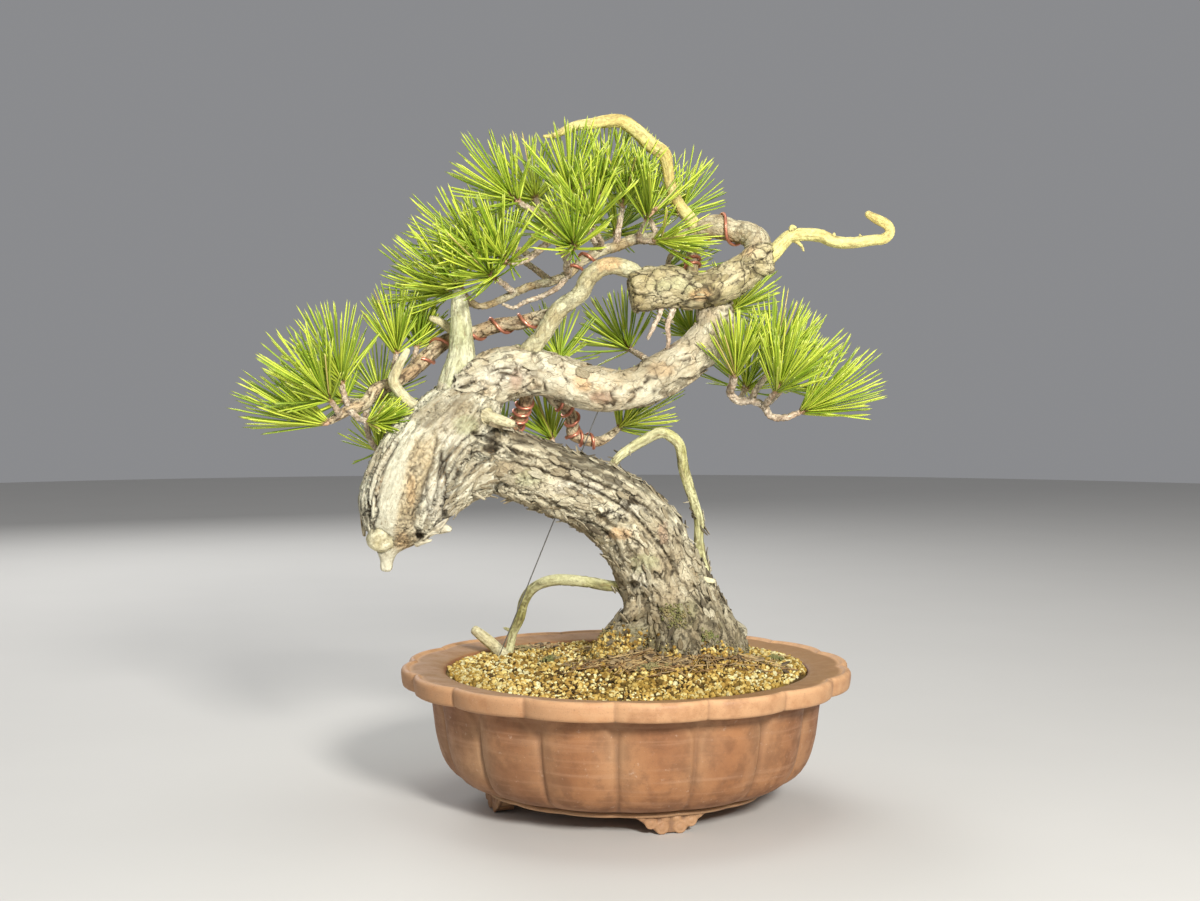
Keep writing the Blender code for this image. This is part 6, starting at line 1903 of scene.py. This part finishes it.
def clay_material():
    """Unglazed reddish clay: lighter where worn and with painted light on the lip's face and right side and
    beside the channels, painted shade in the channels, notches and over the foot ring, whitish bloom low
    down, pits and fine sand.
    """
    clay = Finish("unglazed_clay")
    sand = clay.noise(900.0, 3.0, 0.6)
    cloud = clay.noise(14.0, 4.0, 0.6)
    blotch = clay.noise(70.0, 4.0, 0.6)
    scuffs = clay.noise(210.0, 5.0, 0.7)
    brushed = clay.noise(1.0, 4.0, 0.6, clay.place((9, 9, 240)))
    pits = clay.add("TexVoronoi", Vector=clay.where, Scale=260.0).outputs["Distance"]
    clay.colour = clay.blend(clay.between(cloud, 0.35, 0.68), (0.25, 0.105, 0.042), (0.38, 0.175, 0.072))
    clay.coat(clay.between(blotch, 0.40, 0.66, 0.0, 0.75), (0.19, 0.082, 0.035))
    clay.coat(clay.between(brushed, 0.48, 0.72, 0.0, 0.35), (0.46, 0.26, 0.15))
    clay.coat(clay.between(scuffs, 0.60, 0.74, 0.0, 0.5), (0.56, 0.42, 0.32))
    clay.coat(clay.times(clay.read("top"), clay.between(cloud, 0.30, 0.70, 0.8, 0.5)), (0.33, 0.185, 0.065))
    # Paler where worn, and painted light on the lip and beside the channels
    clay.coat(clay.times(clay.read("worn"), clay.between(blotch, 0.30, 0.60, 0.45, 1.0)), (0.62, 0.36, 0.185))
    haze = clay.times(clay.read("bloom"), clay.between(cloud, 0.35, 0.65, 0.25, 0.8))
    clay.coat(haze, (0.42, 0.265, 0.145))
    # Painted shade in the channels, notches, over the foot ring and on the feet's flat faces
    clay.coat(clay.times(clay.read("deep"), 0.7), (0.13, 0.065, 0.035))
    clay.coat(clay.between(sand, 0.55, 0.72, 0.0, 0.30), (0.12, 0.07, 0.045))
    clay.bump(sand, 0.0003, 0.5)
    clay.bump(clay.between(pits, 0.0, 0.22), 0.0002, 0.5)
    clay.bump(blotch, 0.0006, 0.5)
    return clay.done(Roughness=clay.between(blotch, 0.3, 0.7, 0.52, 0.74), Specular_IOR_Level=0.4)


class PINE_OT_drain_screen(Operator):
    """Give the drain screen its moulded plastic"""

    bl_idname = "pine.drain_screen"
    bl_label = "Drain screen"

    def execute(self, context):
        plastic = Finish("drain_mesh")
        scuff = plastic.noise(500.0)
        plastic.colour = plastic.blend(scuff, (0.018, 0.018, 0.018), (0.05, 0.048, 0.045))
        plastic.bump(scuff, 0.0002, 0.4)
        screen = frame["nodes"]["drain_screen"]
        dull = plastic.between(scuff, 0.3, 0.7, 0.45, 0.65)
        screen.material_slots[0].material = plastic.done(Roughness=dull)
        return {"FINISHED"}


class PINE_OT_stage(Operator):
    """Set the floor, the soft lights and the camera"""

    bl_idname = "pine.stage"
    bl_label = "Stage"

    def execute(self, context):
        look = context.scene.pine_stage
        deselect_all()
        bpy.ops.mesh.primitive_circle_add(vertices=128, radius=4.0, fill_type="NGON")
        floor = in_hand()
        floor.name = "studio_floor"
        paper = Finish("studio_floor")
        darker = tuple(0.96 * c for c in look.floor_colour)
        paper.colour = paper.blend(paper.noise(6.0, 2.0), look.floor_colour, darker)
        floor.data.materials.append(paper.done(Roughness=0.8))
        for name, place, size, power, warmth in STUDIO_LIGHTS:
            bpy.ops.object.light_add(type="AREA", location=place)
            lamp = in_hand()
            lamp.name = name
            lamp.data.size = size
            lamp.data.energy = power * look.brightness
            lamp.data.color = warmth
            aim = np.array([0.0, 0.0, 0.27]) - np.array(place)
            flat = math.hypot(aim[0], aim[1])
            lamp.rotation_euler = (math.atan2(flat, -aim[2]), 0, math.atan2(-aim[0], aim[1]))
        world = bpy.data.worlds.new("studio_air")
        world.use_nodes = True
        air = world.node_tree.nodes["Background"]
        air.inputs["Color"].default_value = (*look.air_colour, 1.0)
        air.inputs["Strength"].default_value = look.air_strength
        context.scene.world = world
        bpy.ops.object.camera_add(
            location=((POT_AXIS_X + EYE_ACROSS) * MM, -EYE_DISTANCE * MM, EYE_HEIGHT * MM),
            rotation=(math.pi / 2 - EYE_DIP, 0, 0))
        camera = in_hand()
        camera.name = "front_camera"
        camera.data.lens = 56.25
        camera.data.sensor_width = 36.0
        context.scene.camera = camera
        context.scene.view_settings.view_transform = "Standard"
        return {"FINISHED"}


# Area lights: name, place, size, power and colour
STUDIO_LIGHTS = [
    ("key_light", (0.75, -2.05, 1.15), 0.4, 76.0, (1.0, 0.975, 0.93)),
    ("left_fill", (-1.8, -1.2, 0.9), 1.4, 5.0, (0.95, 0.98, 1.0)),
    ("top_light", (0.1, 0.3, 2.1), 1.2, 12.0, (1.0, 0.99, 0.96)),
    ("back_light", (-0.8, 1.9, 1.3), 1.2, 20.0, (1.0, 1.0, 1.0))]


class PineBark(PropertyGroup):
    """Sizes of the wood's surface"""

    fineness: FloatProperty(
        name="Fineness", description="Spacing of the points on the bark", default=0.00105,
        min=0.0006, max=0.004, precision=5, unit="LENGTH")
    relief: FloatProperty(
        name="Relief", description="Height of the plates and fibres, as a share of the real bark's",
        default=1.0, min=0.0, max=2.0, subtype="FACTOR")
    most_faces: IntProperty(
        name="Most faces", description="Triangles kept on the wood", default=188000, min=20000)


class PineNeedles(PropertyGroup):
    """Sizes of the needles"""

    openness: FloatProperty(
        name="Openness", description="How much wider each spray spreads than its slim core", default=1.08)
    pairs: IntProperty(
        name="Pairs", description="Pairs of needles on a spray", default=35, min=10, max=120)
    radius: FloatProperty(
        name="Radius", description="Half a needle's thickness", default=0.00068, precision=5,
        unit="LENGTH")


class PineSoil(PropertyGroup):
    """Sizes of the soil's grains"""

    grain_pitch: FloatProperty(
        name="Grain pitch", description="Distance from grain to grain", default=0.00315, precision=4,
        min=0.002, unit="LENGTH")


class PinePot(PropertyGroup):
    """Smoothness of the pot"""

    steps_round: IntProperty(
        name="Steps round", description="Faces round the pot", default=640, min=64)


class PineStage(PropertyGroup):
    """Light and floor"""

    brightness: FloatProperty(
        name="Brightness", description="Strength of all the lights", default=1.0, min=0.0)
    floor_colour: FloatVectorProperty(
        name="Floor", description="Colour of the floor", default=(0.60, 0.59, 0.565), size=3,
        subtype="COLOR")
    air_colour: FloatVectorProperty(
        name="Air", description="Colour of the soft light from all round", default=(0.95, 0.96, 1.0),
        size=3, subtype="COLOR")
    air_strength: FloatProperty(
        name="Air strength", description="Strength of the light from all round", default=0.27, min=0.0)


OPERATORS = (PINE_OT_stage, PINE_OT_wood, PINE_OT_bark_flakes, PINE_OT_wires, PINE_OT_needles,
             PINE_OT_soil, PINE_OT_grains, PINE_OT_moss, PINE_OT_litter, PINE_OT_pot,
             PINE_OT_drain_screen)


class PINE_PT_sidebar(Panel):
    """The bonsai's pieces, in the order in which they are made"""

    bl_idname = "PINE_PT_sidebar"
    bl_label = "Red pine bonsai"
    bl_space_type = "VIEW_3D"
    bl_region_type = "UI"
    bl_category = "Bonsai"

    def draw(self, context):
        for group in SETTINGS:
            for name in SETTINGS[group].__annotations__:
                self.layout.prop(getattr(context.scene, group), name)
        for operator in OPERATORS:
            self.layout.operator(operator.bl_idname)


SETTINGS = {"pine_bark": PineBark, "pine_needles": PineNeedles, "pine_soil": PineSoil,
            "pine_pot": PinePot, "pine_stage": PineStage}


def register():
    for kind in (*SETTINGS.values(), *OPERATORS, PINE_PT_sidebar):
        bpy.utils.register_class(kind)
    for name, group in SETTINGS.items():
        setattr(bpy.types.Scene, name, PointerProperty(type=group))


def unregister():
    for name in SETTINGS:
        delattr(bpy.types.Scene, name)
    for kind in reversed((*SETTINGS.values(), *OPERATORS, PINE_PT_sidebar)):
        bpy.utils.unregister_class(kind)


def main():
    register()
    bpy.ops.pine.stage()
    bpy.ops.pine.wood()
    bpy.ops.pine.bark_flakes()
    bpy.ops.pine.wires()
    bpy.ops.pine.needles()
    bpy.ops.pine.soil()
    bpy.ops.pine.grains()
    bpy.ops.pine.moss()
    bpy.ops.pine.litter()
    bpy.ops.pine.pot()
    bpy.ops.pine.drain_screen()


if __name__ == "__main__":
    main()
